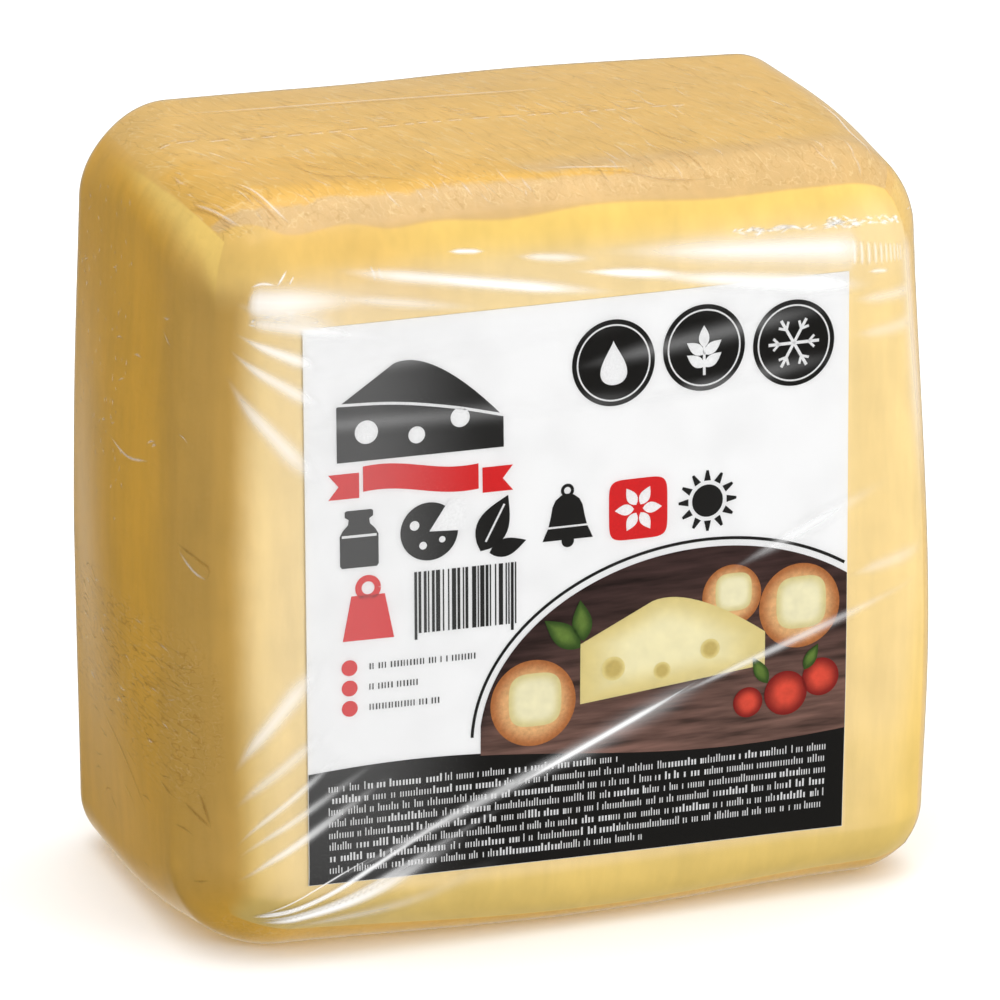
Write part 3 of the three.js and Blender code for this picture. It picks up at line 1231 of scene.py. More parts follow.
    def emblem(self) -> None:
        """Prints the black wedge of cheese at the top left, with white holes."""
        outline = wedge_outline((5, 66), (31, 66), (14, 80.5), 8.5)
        black = PrintInk("black_emblem_ink", "2A2A2A", "2A2A2A")
        nodes = ("print_emblem",)
        self.print_on("print_emblem_wedge", disc(outline, 4), black, self.ink_level, nodes)
        holes = [(9.6, 70.4, 1.8), (17.4, 69.2, 1.3), (24.2, 71.2, 1.5)]
        way = np.array([[5.0, 74.9], [14.0, 74.4], [23.0, 72.9], [31.0, 70.9]])
        rind = stroke(curve_through(way, 24), 0.22)
        white = together([*(disc(circle((x, y), r, 32), 2) for x, y, r in holes), rind])
        self.print_on("print_emblem_holes", white, PrintInk("white_of_emblem", "F4F4F4"), self.picture_level)

    def motifs(self) -> None:
        """Prints a row of bold dairy signs, one of them on a red tile, and the ribbon above."""
        foot = 49.6

        def upright(x: float, outline: Sequence[Pair]) -> Flat:
            """Draws a turned shape from pairs of height and half width."""
            profile = np.array(outline, float)
            return stroke(np.stack([np.full(len(profile), x), foot + profile[:, 0]], -1), profile[:, 1])

        churn = [(0, 2.7), (0.4, 3.0), (5.0, 3.0), (5.9, 2.5), (6.7, 1.7), (7.5, 1.6)]
        churn += [(7.9, 2.2), (8.7, 2.2), (8.9, 1.9)]
        bell = [(1.0, 4.0), (1.7, 3.7), (3.0, 3.1), (4.6, 2.7), (6.2, 2.4), (7.2, 1.9)]
        bell += [(7.9, 1.0), (8.1, 0.2)]
        loop = circle((41.0, foot + 8.6), 0.8, 24)
        sun = [disc(circle((63.5, foot + 4.6), 2.5, 36), 2)]
        for step in range(12):
            turn = 2 * math.pi * step / 12
            ray = np.array([63.5, foot + 4.6]) + np.outer([3.1, 4.7], [math.cos(turn), math.sin(turn)])
            sun.append(stroke(ray, np.array([0.55, 0.2])))
        black = [
            upright(8.3, churn),
            disc(circle((19.2, foot + 4.5), 4.5, 56), 3),
            disc(leaf((27.2, foot + 0.6), 62, 9.4, 5.0), 3),
            disc(leaf((28.6, foot + 0.2), 14, 6.0, 2.8), 3),
            upright(41.0, bell),
            disc(circle((41.0, foot + 0.8), 1.0, 24), 2),
            stroke(np.concatenate([loop, loop[:1]]), 0.25),
            *sun,
        ]
        ink = PrintInk("black_sign_ink", "222222")
        self.print_on("print_dairy_signs", together(black), ink, self.ink_level)
        middle = np.array([52.3, foot + 4.6])
        t = np.linspace(0, 2 * np.pi, 56, endpoint=False)
        rounded = np.stack([np.sign(f(t)) * np.abs(f(t)) ** 0.35 for f in (np.cos, np.sin)], -1) * 4.7
        petals = []
        for angle in range(0, 360, 60):
            turn = math.radians(angle)
            root = middle + 0.7 * np.array([math.cos(turn), math.sin(turn)])
            petals.append(disc(leaf(tuple(root), angle, 3.1, 1.7), 2))
        rib = stroke(np.array([[28.0, foot + 2.0], [31.0, foot + 7.6]]), 0.16)
        corners = ((19.2, 4.5), (25.0, 4.2), (25.0, 9.2), (22.4, 9.2))
        cut_piece = patch([(x, foot + up) for x, up in corners], 2, 2)
        collar = bars(np.array([[5.6, foot + 4.7, 11.0, foot + 5.1], [37.6, foot + 2.9, 44.4, foot + 3.2]]))
        holes = ((16.9, 5.6, 0.75), (18.2, 2.4, 0.6), (21.2, 3.1, 0.5))
        eyes = [disc(circle((x, foot + up), r, 24), 2) for x, up, r in holes]
        white = together([*petals, rib, cut_piece, collar, *eyes])
        self.print_on("print_sign_lights", white, PrintInk("white_of_signs", "F4F4F4"), self.picture_level)
        red = PrintInk("red_tile_ink", "DD1F22")
        self.print_on("print_red_tile", disc(middle + rounded, 3), red, self.ink_level)
        self.ribbon()

    def ribbon(self) -> None:
        """Prints a red ribbon with a forked tail at each end."""
        wide = 3.9

        def low(at: Array) -> Array:
            """Gives the height of the ribbon's wavy lower edge."""
            return 60.6 + 0.8 * np.sin(2 * np.pi * (at - 5) / 26)

        across = np.linspace(9, 27, 28)
        parts = [between(across, low(across), low(across) + wide, 3)]
        for end, away in ((8.4, -1), (27.6, 1)):
            base = float(low(np.array(end))) - 0.8
            fork, tip = end + away * 3.2, end + away * 4.8
            half, top = base + wide / 2, base + wide
            for corners in (
                [(end, base), (end, half), (fork, half), (tip, base)],
                [(end, half), (end, top), (tip, top), (fork, half)],
            ):
                parts.append(patch(corners if away < 0 else corners[::-1], 4, 2))
        red = PrintInk("red_offset_ink", "DD1F22")
        self.print_on("print_ribbon", together(parts), red, self.ink_level)

    def weight_and_bars(self) -> None:
        """Prints a red balance weight, a bar code of seeded bars and three dotted lines."""
        body = np.array([(5.6, 38.2), (13.6, 38.2), (12.2, 45.2), (7.0, 45.2)])
        weight = patch([tuple(p) for p in body], 6, 4)
        loop = circle((9.6, 46.3), 1.5, 36)
        knob = stroke(np.concatenate([loop, loop[:1]]), 0.5)
        dots = [disc(circle((6.6, up), 1.25, 28), 2) for up in (34.0, 30.8, 27.6)]
        red = PrintInk("red_mark_ink", "E0272A")
        self.print_on("print_weight_and_dots", together([weight, knob, *dots]), red, self.ink_level)
        draw = np.random.default_rng(SEED + 1)
        widths = draw.choice([0.22, 0.44, 0.66], 44, p=[0.5, 0.32, 0.18])
        gaps = draw.choice([0.2, 0.4, 0.6], 44, p=[0.5, 0.32, 0.18])
        left = 16.4 + np.cumsum(widths + gaps) - widths
        kept = left + widths < 33.0
        low = np.where(np.arange(44) % 21 == 0, 37.4, 38.4)
        code = np.stack([left, low, left + widths, np.full(44, 48.0)], -1)[kept]
        lines = []
        for up, long in ((34.0, 17.0), (30.8, 8.5), (27.6, 11.5)):
            ticks = draw.uniform(0.16, 0.24, 60)
            spaces = np.where(draw.random(60) < 0.14, 0.7, 0.3)
            at = 9.2 + np.cumsum(ticks + spaces)
            inside = at < 9.2 + long
            foot, head = np.full(60, up - 0.5), np.full(60, up + 0.45)
            lines.append(np.stack([at, foot, at + ticks, head], -1)[inside])
        black = PrintInk("black_bar_ink", "2B2B2B")
        boxes = np.concatenate([code, *lines])
        self.print_on("print_bar_code", bars(boxes), black, self.ink_level)

    def board(self) -> None:
        """Prints the serving board: an ellipse cut by the label's edge and by the dark band."""
        middle, half = (63.0, 20.0), (36.0, 27.0)
        left, right = middle[0] - half[0] * 0.995, self.width - self.inset
        across = left + (right - left) * np.linspace(0, 1, 81) ** 1.6
        brim = middle[1] + half[1] * np.sqrt(1 - ((across - middle[0]) / half[0]) ** 2)
        wood = PrintInk(
            "printed_walnut_board", "77594F", "412D2B", grain_mm=1.5, grain_share=0.6, stretch=(0.1, 1.0, 1.0)
        )
        low = self.band_top(across) - 0.3
        self.print_on(
            "print_board_field",
            between(across, low, brim, 24),
            wood,
            self.ink_level + 0.015,
            ("print_board",),
        )
        turn = np.linspace(math.radians(178), math.radians(51.8), 120)
        way = np.stack([np.cos(turn), np.sin(turn)], -1)
        rim = np.array(middle) + (np.array(half) + 1.2) * way
        line = PrintInk("black_rim_ink", "1F1F1F")
        self.print_on("print_board_rim", stroke(rim, 0.24), line, self.ink_level)

    def picture(self) -> None:
        """Prints what lies on the board: a wedge of cheese, crackers, tomatoes and leaves."""
        outline = wedge_outline((43, 24.5), (73, 27.5), (54.5, 39.5), 9.5)
        cheese = PrintInk("printed_pale_cheese", "F3EBC2", "E2D292", 0.35, 1.0, 3.0, 0.05)
        nodes = ("print_wedge",)
        self.print_on("print_wedge_field", disc(outline, 8), cheese, self.over_level, nodes)
        holes = [(48.3, 29.6, 1.9), (56.2, 28.4, 1.4), (64, 31, 1.6)]
        hollow = PrintInk("printed_cheese_hole", "CDB870", "E6D796", 0.5, 1.0)
        dips = together([disc(circle((x, y), r, 32), 3) for x, y, r in holes])
        self.print_on("print_wedge_holes", dips, hollow, self.over_level + 0.03)
        rounds = [((35.5, 25.5), 6.8), ((78.6, 36.2), 6.6), ((67.5, 39.0), 4.8)]
        crackers = together([disc(circle(m, r, 60), 6) for m, r in rounds])
        baked = PrintInk("printed_baked_cracker", "E6B983", "B9743F", 0.6, 1.0, 0.7, 0.14)
        self.print_on("print_crackers", crackers, baked, self.picture_level)
        slices = []
        for (x, y), r in rounds:
            t = np.linspace(0, 2 * np.pi, 40, endpoint=False)
            square = np.stack([np.sign(f(t)) * np.abs(f(t)) ** 0.6 for f in (np.cos, np.sin)], -1)
            slices.append(disc(np.array([x + 0.3, y + 0.5]) + square * r * 0.62, 4))
        pale = PrintInk("printed_cheese_slice", "EFE9C6", "DDD29A", 0.6, 1.0, 2.0)
        self.print_on("print_slices", together(slices), pale, self.picture_level + 0.02)
        fruit = [((76.5, 22.6), 3.5), ((82.2, 24.6), 3.0), ((70.3, 21.8), 2.4)]
        red = PrintInk("printed_tomato", "E2553F", "8E1F1B", 0.3, 1.0, 1.5, 0.1)
        tomatoes = together([disc(circle(m, r, 40), 5) for m, r in fruit])
        self.print_on("print_tomatoes", tomatoes, red, self.over_level + 0.03)
        green = PrintInk("printed_leaf", "6E8B3C", "3B5A22", 0.2, 1.0, 1.2, 0.15)
        sprays = [((43.0, 33.5), 140, 7.5, 3.6), ((43.5, 34.5), 95, 6.5, 3.2)]
        sprays += [((73.5, 24.5), 120, 5.0, 2.2), ((79.5, 26.0), 60, 4.5, 2.0)]
        leaves = together([disc(leaf(*spray), 3) for spray in sprays])
        self.print_on("print_leaves", leaves, green, self.over_level + 0.05)

    def build(self) -> None:
        """Builds the sheet and everything printed on it."""
        self.sheet()
        self.band()
        self.roundels()
        self.emblem()
        self.motifs()
        self.weight_and_bars()
        self.board()
        self.picture()


@dataclass
class FilmSkin:
    """The clear film over the whole block, lifted where it runs over the label."""

    pack: Pack
    label: FrontLabel
    steps: tuple[int, int, int] = (160, 72, 160)
    crowding: float = 0.2
    base_level: float = 0.12
    over_label: float = 0.56
    ease: float = 9.0

    def level(self, places: Array) -> Array:
        """Gives the film's height over the skin, which eases down beyond the label's edge."""
        inside = self.label.inside(self.pack.lifted(places, 0.0))
        share = smooth(inside, -self.ease, 0.0) * (places[:, 1] < -0.99)
        return self.base_level + (self.over_label - self.base_level) * share

    def milk(self, places: Array) -> Array:
        """Gives the film's milk: a painted highlight, a soft glare over the front's left part and along the
        band under its upper rim, none elsewhere.
        """
        half = self.pack.skin.half
        across, up = places[:, 0] * half[0], places[:, 2] * half[2]
        haze = 0.1 * (1 - smooth(across, -34, -13)) * smooth(across, -53, -44)
        haze = haze * (1 - 0.5 * smooth(-up, 10, 50))
        haze = haze * (1 - smooth(up, 45, 48.5))
        rim = 0.08 * smooth(up, 36, 44) * (1 - smooth(up, 47.5, 50.5)) * smooth(across, -50, -40)
        return np.where(places[:, 1] < -ON_FACE, 1 - (1 - haze) * (1 - rim), 0.0)

    def build(self) -> bpy.types.Object:
        """Builds the film and returns it."""
        places, faces = cube_lattice(self.steps, self.crowding)
        points = self.pack.lifted(places, self.level(places))
        points[:, 2] = np.maximum(points[:, 2], 0.0)
        even = np.ones(len(places))
        film = make_piece("film", points, faces, {"fold": even, "milk": self.milk(places), "tone": even})
        settle(film, ShrinkFilm().material(), ("wrapped_block",))
        film.visible_shadow = False
        return film


@dataclass(frozen=True)
class Fold:
    """A gathered line of film: its path on the block, its size, and how it looks.

    The tone is 1 for a milky fold and 0 for one that shades itself. A milky one with no height and no gloss
    is a painted highlight, a flat streak for a reflection.
    """

    path: tuple[tuple[Face, float, float], ...]
    width: float = 1.2
    height: float = 0.12
    milk: float = 0.25
    tone: float = 1.0
    taper: float = 0.3
    fall: float | None = None
    end_width: float | None = None
    gloss: float = 0.3


@dataclass
class FilmFolds:
    """Folds of one region of the film, each a low ridge that fades out at its ends and sides, or flat where
    it has no height; the flat milky ones are painted highlights.
    """

    pack: Pack
    film: FilmSkin
    name: str
    folds: Sequence[Fold]
    ribs: int = 7
    step: float = 0.9
    apart: float = 0.0

    def ridge(self, fold: Fold, level_up: float) -> tuple[Array, Array]:
        """Works out one fold.

        Across the fold the height is exp(-(2.1 s) squared) less its value at the border, for s
        from -1 to 1. Along it, it rises and falls smoothly over the shares taper and fall.

        Args:
            fold: the fold.
            level_up: millimetres by which it lies above the others.

        Returns:
            Its points, in rows along the fold, and its share of the full height at each.
        """
        skin = self.pack.skin
        controls = [skin.place(face, np.array([u]), np.array([v])) for face, u, v in fold.path]
        controls = np.concatenate(controls)
        rough = np.linalg.norm(np.diff(skin.at(controls)[0], axis=0), axis=1).sum()
        count = max(int(rough / self.step), 5)
        path = skin.on_cube(curve_through(controls, count))
        points, out = skin.at(path)
        ahead = unit(np.gradient(points, axis=0))
        beside = np.cross(out, ahead)
        s = np.linspace(-1, 1, self.ribs)
        t = np.linspace(0, 1, count)
        fall = fold.taper if fold.fall is None else fold.fall
        ends = smooth(t, 0.0, fold.taper) * (1 - smooth(t, 1 - fall, 1.0))
        width = fold.width + ((fold.end_width or fold.width) - fold.width) * t
        reach = width / 2 * (0.5 + 0.5 * ends)
        targets = points[:, None] + beside[:, None] * (s * reach[:, None])[..., None]
        guesses = np.repeat(path[:, None], self.ribs, axis=1)
        places = skin.nearest(targets.reshape(-1, 3), guesses.reshape(-1, 3), 4)
        border = math.exp(-(2.1**2))
        bell = (np.exp(-((2.1 * s) ** 2)) - border) / (1 - border)
        share = (bell * ends[:, None]).ravel()
        level = self.film.level(places) + 0.02 + level_up + fold.height * share
        points = self.pack.lifted(places, level)
        points[:, 2] = np.maximum(points[:, 2], 0.0)
        return points, share

    def build(self) -> bpy.types.Object:
        """Builds the folds as one piece and returns it."""
        ridges = [self.ridge(fold, self.apart * i) for i, fold in enumerate(self.folds)]
        counts = [len(points) for points, _ in ridges]
        starts = np.cumsum([0, *counts])
        faces = [grid_quads(n // self.ribs, self.ribs, start) for n, start in zip(counts, starts)]
        share = np.concatenate([s * fold.gloss for (_, s), fold in zip(ridges, self.folds)])
        milk = np.concatenate([s * fold.milk for (_, s), fold in zip(ridges, self.folds)])
        tone = np.repeat([fold.tone for fold in self.folds], counts)
        points = np.concatenate([p for p, _ in ridges])
        piece = make_piece(self.name, points, faces, {"fold": share, "milk": milk, "tone": tone})
        settle(piece, ShrinkFilm("gathered_shrink_film").material())
        piece.visible_shadow = False
        return piece


def on(face: Face, *pairs: Pair) -> tuple[tuple[Face, float, float], ...]:
    """Names places on a face by millimetres across and up from its middle."""
    return tuple((face, across, up) for across, up in pairs)


def scatter(
    face: Face,
    across: Pair,
    up: Pair,
    count: int,
    length: Pair,
    heading: Pair,
    look: Fold,
    seed: int,
    bend: float = 0.12,
) -> list[Fold]:
    """Scatters short folds over a rectangle of one face.

    Args:
        face: the face.
        across: the rectangle's span across.
        up: its span up.
        count: how many folds.
        length: the shortest and the longest fold.
        heading: the middle heading in degrees anticlockwise from across, and its spread.
        look: a fold whose width, height and milk they take, each varied by a third, and whose tone and gloss
            they keep.
        seed: start of the random draws.
        bend: how far a fold bows, as a share of its length.

    Returns:
        The folds.
    """
    draw = np.random.default_rng(SEED + seed)
    u, v = draw.uniform(*across, count), draw.uniform(*up, count)
    long = draw.uniform(*length, count)
    turn = np.radians(draw.normal(*heading, count))
    bow = draw.uniform(-bend, bend, count) * long
    vary = draw.uniform(0.67, 1.33, (3, count))
    du, dv = np.cos(turn) * long / 2, np.sin(turn) * long / 2
    folds = []
    for i in range(count):
        aside = (-math.sin(turn[i]) * bow[i], math.cos(turn[i]) * bow[i])
        middle = (u[i] + aside[0], v[i] + aside[1])
        path = on(face, (u[i] - du[i], v[i] - dv[i]), middle, (u[i] + du[i], v[i] + dv[i]))
        width, height, milk = look.width * vary[0, i], look.height * vary[1, i], look.milk * vary[2, i]
        folds.append(Fold(path, width, height, milk, look.tone, 0.5, gloss=look.gloss))
    return folds


def painted_glare_streak(start: Pair, end: Pair, start_width: float, end_width: float, strength: float, rise: float = 0.35,
         fall: float = 0.12) -> Fold:
    """Makes a painted highlight on the front: a soft milky streak that stands in for the light's reflection
    on drawn film.

    Beside it the milk fades as exp(-(distance / width) squared).

    Args:
        start: its first end, millimetres across and up from the front's middle.
        end: its other end.
        start_width: the fading width at the first end.
        end_width: the fading width at the other end.
        strength: the milk's greatest share.
        rise: share of its length over which it appears.
        fall: share of its length over which it goes.

    Returns:
        The streak, flat on the film and without a gloss of its own.
    """
    middle = ((start[0] + end[0]) / 2, (start[1] + end[1]) / 2)
    path = on(Face.FRONT, start, middle, end)
    return Fold(path, 4.2 * start_width, 0.0, strength, 1.0, rise, fall, 4.2 * end_width, 0.0)


def front_painted_glare() -> list[Fold]:
    """Gives the painted highlights of the front: soft milky streaks that stand in for the light's reflections
    where the film is drawn.
    """
    return [
        # the fan from the left edge to the label's upper left corner
        painted_glare_streak((-53.5, 44.5), (-34.5, 39.5), 0.5, 2.2, 0.34, 0.35, 0.4),
        painted_glare_streak((-53.0, 40.0), (-39.5, 34.0), 0.3, 1.2, 0.62, 0.4, 0.3),
        painted_glare_streak((-54.5, 37.8), (-39.0, 27.8), 0.3, 1.3, 0.52, 0.4, 0.3),
        painted_glare_streak((-55.0, 34.0), (-39.0, 15.5), 0.5, 1.8, 0.5, 0.4, 0.35),
        # the fan from the lower left corner
        painted_glare_streak((-53.5, -27.5), (-39.0, -9.5), 0.6, 1.9, 0.5, 0.35, 0.35),
        painted_glare_streak((-53.5, -33.0), (-38.0, -20.5), 0.5, 1.2, 0.34, 0.35, 0.35),
        painted_glare_streak((-53.5, -39.0), (-36.0, -24.8), 0.3, 0.7, 0.42, 0.35, 0.4),
        painted_glare_streak((-53.5, -41.0), (-30.0, -26.0), 0.3, 0.9, 0.4, 0.35, 0.6),
        painted_glare_streak((-53.8, -45.3), (-28.0, -28.6), 0.35, 1.0, 0.55, 0.35, 0.6),
        painted_glare_streak((-51.5, -54.4), (-12.0, -32.4), 0.3, 0.45, 0.8, 0.15, 0.6),
        painted_glare_streak((-52.0, -55.4), (-30.0, -42.5), 0.25, 0.4, 0.7, 0.2, 0.6),
        painted_glare_streak((-51.5, -56.2), (-8.0, -34.4), 0.35, 0.9, 0.5, 0.2, 0.7),
        painted_glare_streak((-51.0, -57.3), (-16.0, -39.5), 0.45, 1.6, 0.9, 0.25, 0.65),
        painted_glare_streak((-46.0, -57.8), (-10.0, -44.0), 0.6, 1.8, 0.3, 0.3, 0.7),
        # the long fold over the label's lower half
        painted_glare_streak((-42.0, -46.6), (8.0, -25.2), 0.3, 1.2, 0.42, 0.5, 0.3),
        painted_glare_streak((-12.0, -34.2), (18.0, -20.6), 0.35, 0.5, 0.85, 0.35, 0.35),
        painted_glare_streak((-8.0, -32.8), (24.0, -18.0), 1.3, 1.8, 0.22, 0.3, 0.4),
        painted_glare_streak((12.0, -23.2), (56.0, -7.6), 0.35, 0.9, 0.45, 0.3, 0.5),
        painted_glare_streak((22.0, -4.0), (50.0, 8.5), 0.5, 1.5, 0.35, 0.4, 0.5),
        # the bright streaks between the upper edge and the label
        painted_glare_streak((-50.8, 44.8), (-28.0, 43.6), 2.3, 1.6, 0.66, 0.06, 0.8),
        painted_glare_streak((-50.8, 41.8), (-26.0, 37.2), 0.9, 1.2, 0.46, 0.1, 0.7),
        painted_glare_streak((-38.0, 48.6), (8.5, 41.2), 0.9, 0.9, 0.62, 0.25, 0.35),
        painted_glare_streak((-24.0, 46.3), (0.0, 42.3), 0.45, 0.5, 0.75, 0.3, 0.3),
        painted_glare_streak((-38.0, 44.6), (-12.0, 40.6), 0.6, 1.1, 0.35, 0.3, 0.6),
        painted_glare_streak((-10.0, 48.4), (4.0, 46.8), 0.5, 0.8, 0.5, 0.3, 0.5),
        painted_glare_streak((0.0, 48.3), (45.4, 44.6), 1.2, 2.9, 0.46, 0.5, 0.05),
        painted_glare_streak((8.0, 47.3), (45.4, 45.0), 0.6, 1.4, 0.45, 0.5, 0.12),
        painted_glare_streak((-1.0, 45.4), (20.0, 43.0), 0.4, 0.9, 0.9, 0.4, 0.5),
        painted_glare_streak((8.0, 44.0), (48.0, 38.8), 0.8, 1.6, 0.7, 0.4, 0.3),
        # faint streaks on the right margin
        painted_glare_streak((43.0, 37.0), (59.0, 36.6), 0.8, 1.2, 0.3, 0.3, 0.3),
        painted_glare_streak((43.0, 31.5), (59.0, 31.8), 0.8, 1.4, 0.24, 0.3, 0.3),
        painted_glare_streak((42.0, -6.5), (58.0, -3.0), 0.6, 1.6, 0.25, 0.3, 0.5),
        painted_glare_streak((58.3, 47.0), (58.6, -2.0), 1.4, 2.4, 0.3, 0.1, 0.5),
        # faint streaks over the label's upper part
        painted_glare_streak((-44.0, 33.5), (10.0, 36.5), 0.9, 1.6, 0.12, 0.1, 0.6),
        painted_glare_streak((-44.0, 25.5), (26.0, 25.0), 0.9, 1.8, 0.12, 0.1, 0.6),
        painted_glare_streak((-2.0, 30.5), (44.0, 37.0), 1.0, 1.6, 0.14, 0.3, 0.4),
        painted_glare_streak((6.0, 24.0), (44.0, 29.0), 0.8, 1.4, 0.12, 0.3, 0.4),
    ]


def front_painted_glints() -> list[Fold]:
    """Gives the crisp painted highlights of the front, flat and without gloss, for glints of the film: flicks
    along the upper rim, a comb and thin lines.
    """
    face = Face.FRONT
    milky = Fold((), 0.5, 0.0, 0.5, gloss=0.0)
    rough = (
        (((-20.2, 49.9), (-17.0, 49.7), (-13.9, 49.4)), 1.2, 0.95),
        (((-50.4, 46.9), (-48.5, 47.4), (-46.0, 47.0)), 0.7, 0.7),
        (((-46.2, 46.8), (-45.3, 48.0), (-44.4, 49.3)), 0.6, 0.8),
        (((-44.3, 46.9), (-43.9, 47.6), (-43.4, 48.3)), 0.5, 0.6),
        (((-31.9, 48.9), (-31.4, 47.6), (-31.2, 46.4)), 0.5, 0.6),
        (((-30.6, 48.4), (-30.3, 47.2), (-30.0, 46.4)), 0.5, 0.6),
        (((45.9, 41.1), (48.3, 40.9), (50.7, 40.5)), 1.2, 0.55),
        (((-12.0, -34.3), (3.1, -27.5), (20.5, -19.2)), 0.45, 0.9),
        (((-50.8, -54.4), (-41.5, -46.6), (-30.0, -40.9)), 0.5, 0.75),
    )
    folds = [Fold(on(face, *path), width, 0.0, milk, 1.0, 0.35, gloss=0.0) for path, width, milk in rough]
    for step in range(10):
        x = 43.9 + step * 1.2
        top, foot = 46.3 - step * 0.22, 42.2 - step * 0.1
        path = on(face, (x, top), (x + 0.15, (top + foot) / 2), (x + 0.1, foot))
        folds.append(Fold(path, 1.05, 0.0, 0.5 - 0.02 * step, 1.0, 0.2, gloss=0.0))
    # Painted glints along the upper rim
    painted_glint = Fold((), 0.8, 0.0, 0.55, gloss=0.0)
    folds += scatter(face, (24.0, 46.0), (48.5, 49.3), 30, (1.2, 3.6), (2, 14), painted_glint, 31)
    folds += scatter(face, (40.0, 56.0), (48.2, 49.8), 34, (1.0, 3.0), (-8, 20), painted_glint, 34)
    folds += scatter(face, (-50.0, -40.0), (41.0, 43.0), 10, (0.8, 1.8), (20, 30), milky, 32)
    return folds


def top_folds() -> list[Fold]:
    """Gives the folds of the top: its dashed seam, the slack behind it and a few creases."""
    face = Face.TOP
    faint = Fold((), 0.6, 0.03, 0.2, 0.0, gloss=0.1)
    pale = Fold((), 0.6, 0.03, 0.17, 1.0, gloss=0.1)
    draw = np.random.default_rng(SEED + 40)
    folds = []
    x = -53.0
    while x < 30.0:
        long, gap = draw.uniform(1.6, 4.0), draw.uniform(0.2, 1.0)
        y = 0.4 + 1.6 * math.exp(-(((x + 56) / 7) ** 2)) - 1.6 * math.exp(-(((x + 28) / 14) ** 2))
        y += draw.uniform(-0.2, 0.2)
        milk = 0.42 - 0.25 * max(x, 0) / 30
        dash = on(face, (x, y), (x + long / 2, y + 0.08), (x + long, y + 0.05))
        folds.append(Fold(dash, 0.8, 0.03, milk, 0.0, 0.25, gloss=0.1))
        dash = on(face, (x, y - 0.7), (x + long, y - 0.6))
        folds.append(Fold(dash, 0.9, 0.03, 0.25, 1.0, 0.25, gloss=0.1))
        x += long + gap
    way = ((-50, 15.0), (-38, 13.6), (-18, 12.5), (6, 12.2), (20, 12.8))
    for back, width, milk, tone in ((0.0, 0.9, 0.22, 0.0), (0.9, 1.0, 0.25, 1.0)):
        path = on(face, *((x, y + back) for x, y in way))
        folds.append(Fold(path, width, 0.04, milk, tone, gloss=0.1))
    for step, centre in enumerate((-47.0, -36.0, -26.0, -16.0, -6.0, 6.0, 15.0, 24.0)):
        across = (centre - 3.4, centre + 3.4)
        folds += scatter(face, across, (0.8, 6.5), 7, (2.0, 4.6), (-33, 8), faint, 50 + step)
        folds += scatter(face, across, (0.8, 6.5), 4, (2.0, 4.0), (-33, 8), pale, 60 + step)
    chosen = (
        (((-57.5, -20.0), (-55.0, -27.0), (-52.8, -33.0)), 0.35, 0.0),
        (((-56.6, -20.0), (-54.0, -27.2), (-51.8, -33.4)), 0.3, 1.0),
        (((-49.0, -20.0), (-46.4, -28.0), (-43.9, -35.4)), 0.5, 0.0),
        (((-48.0, -20.5), (-45.3, -28.2), (-42.6, -35.2)), 0.35, 1.0),
        (((-37.6, -13.0), (-36.8, -17.0), (-34.0, -22.0), (-28.5, -24.0), (-20.0, -29.0)), 0.35, 0.0),
        (((-35.6, -14.5), (-34.2, -17.6), (-31.0, -20.4)), 0.4, 0.0),
        (((21.0, -12.0), (22.2, -17.0), (24.6, -20.5)), 0.45, 0.0),
        (((20.4, -22.5), (21.6, -27.0), (22.6, -31.5)), 0.45, 0.0),
        (((3.0, -28.4), (10.0, -30.0), (16.5, -32.6), (24.0, -33.0)), 0.35, 0.0),
        (((-2.0, -26.6), (5.0, -27.8), (12.0, -28.6)), 0.3, 1.0),
        (((51.5, 1.5), (52.3, -8.0), (51.2, -18.0), (52.6, -29.0)), 0.5, 1.0),
    )
    folds += [Fold(on(face, *path), 0.8, 0.04, milk, tone, gloss=0.1) for path, milk, tone in chosen]
    folds += scatter(face, (0.0, 48.0), (-32.0, 10.0), 46, (3.0, 10.0), (-81, 5), faint, 70)
    folds += scatter(face, (0.0, 48.0), (-32.0, 10.0), 46, (3.0, 9.0), (-81, 5), pale, 71)
    folds += scatter(face, (-56.0, -5.0), (-34.0, -3.0), 40, (2.0, 7.0), (-74, 9), faint, 72)
    folds += scatter(face, (-56.0, -5.0), (-34.0, -3.0), 44, (2.0, 7.0), (-74, 9), pale, 73)
    folds += scatter(face, (-50.0, 46.0), (8.0, 30.0), 34, (2.0, 7.0), (-60, 20), faint, 74)
    folds += scatter(face, (-50.0, 46.0), (8.0, 30.0), 34, (2.0, 6.0), (-60, 20), pale, 75)
    return folds


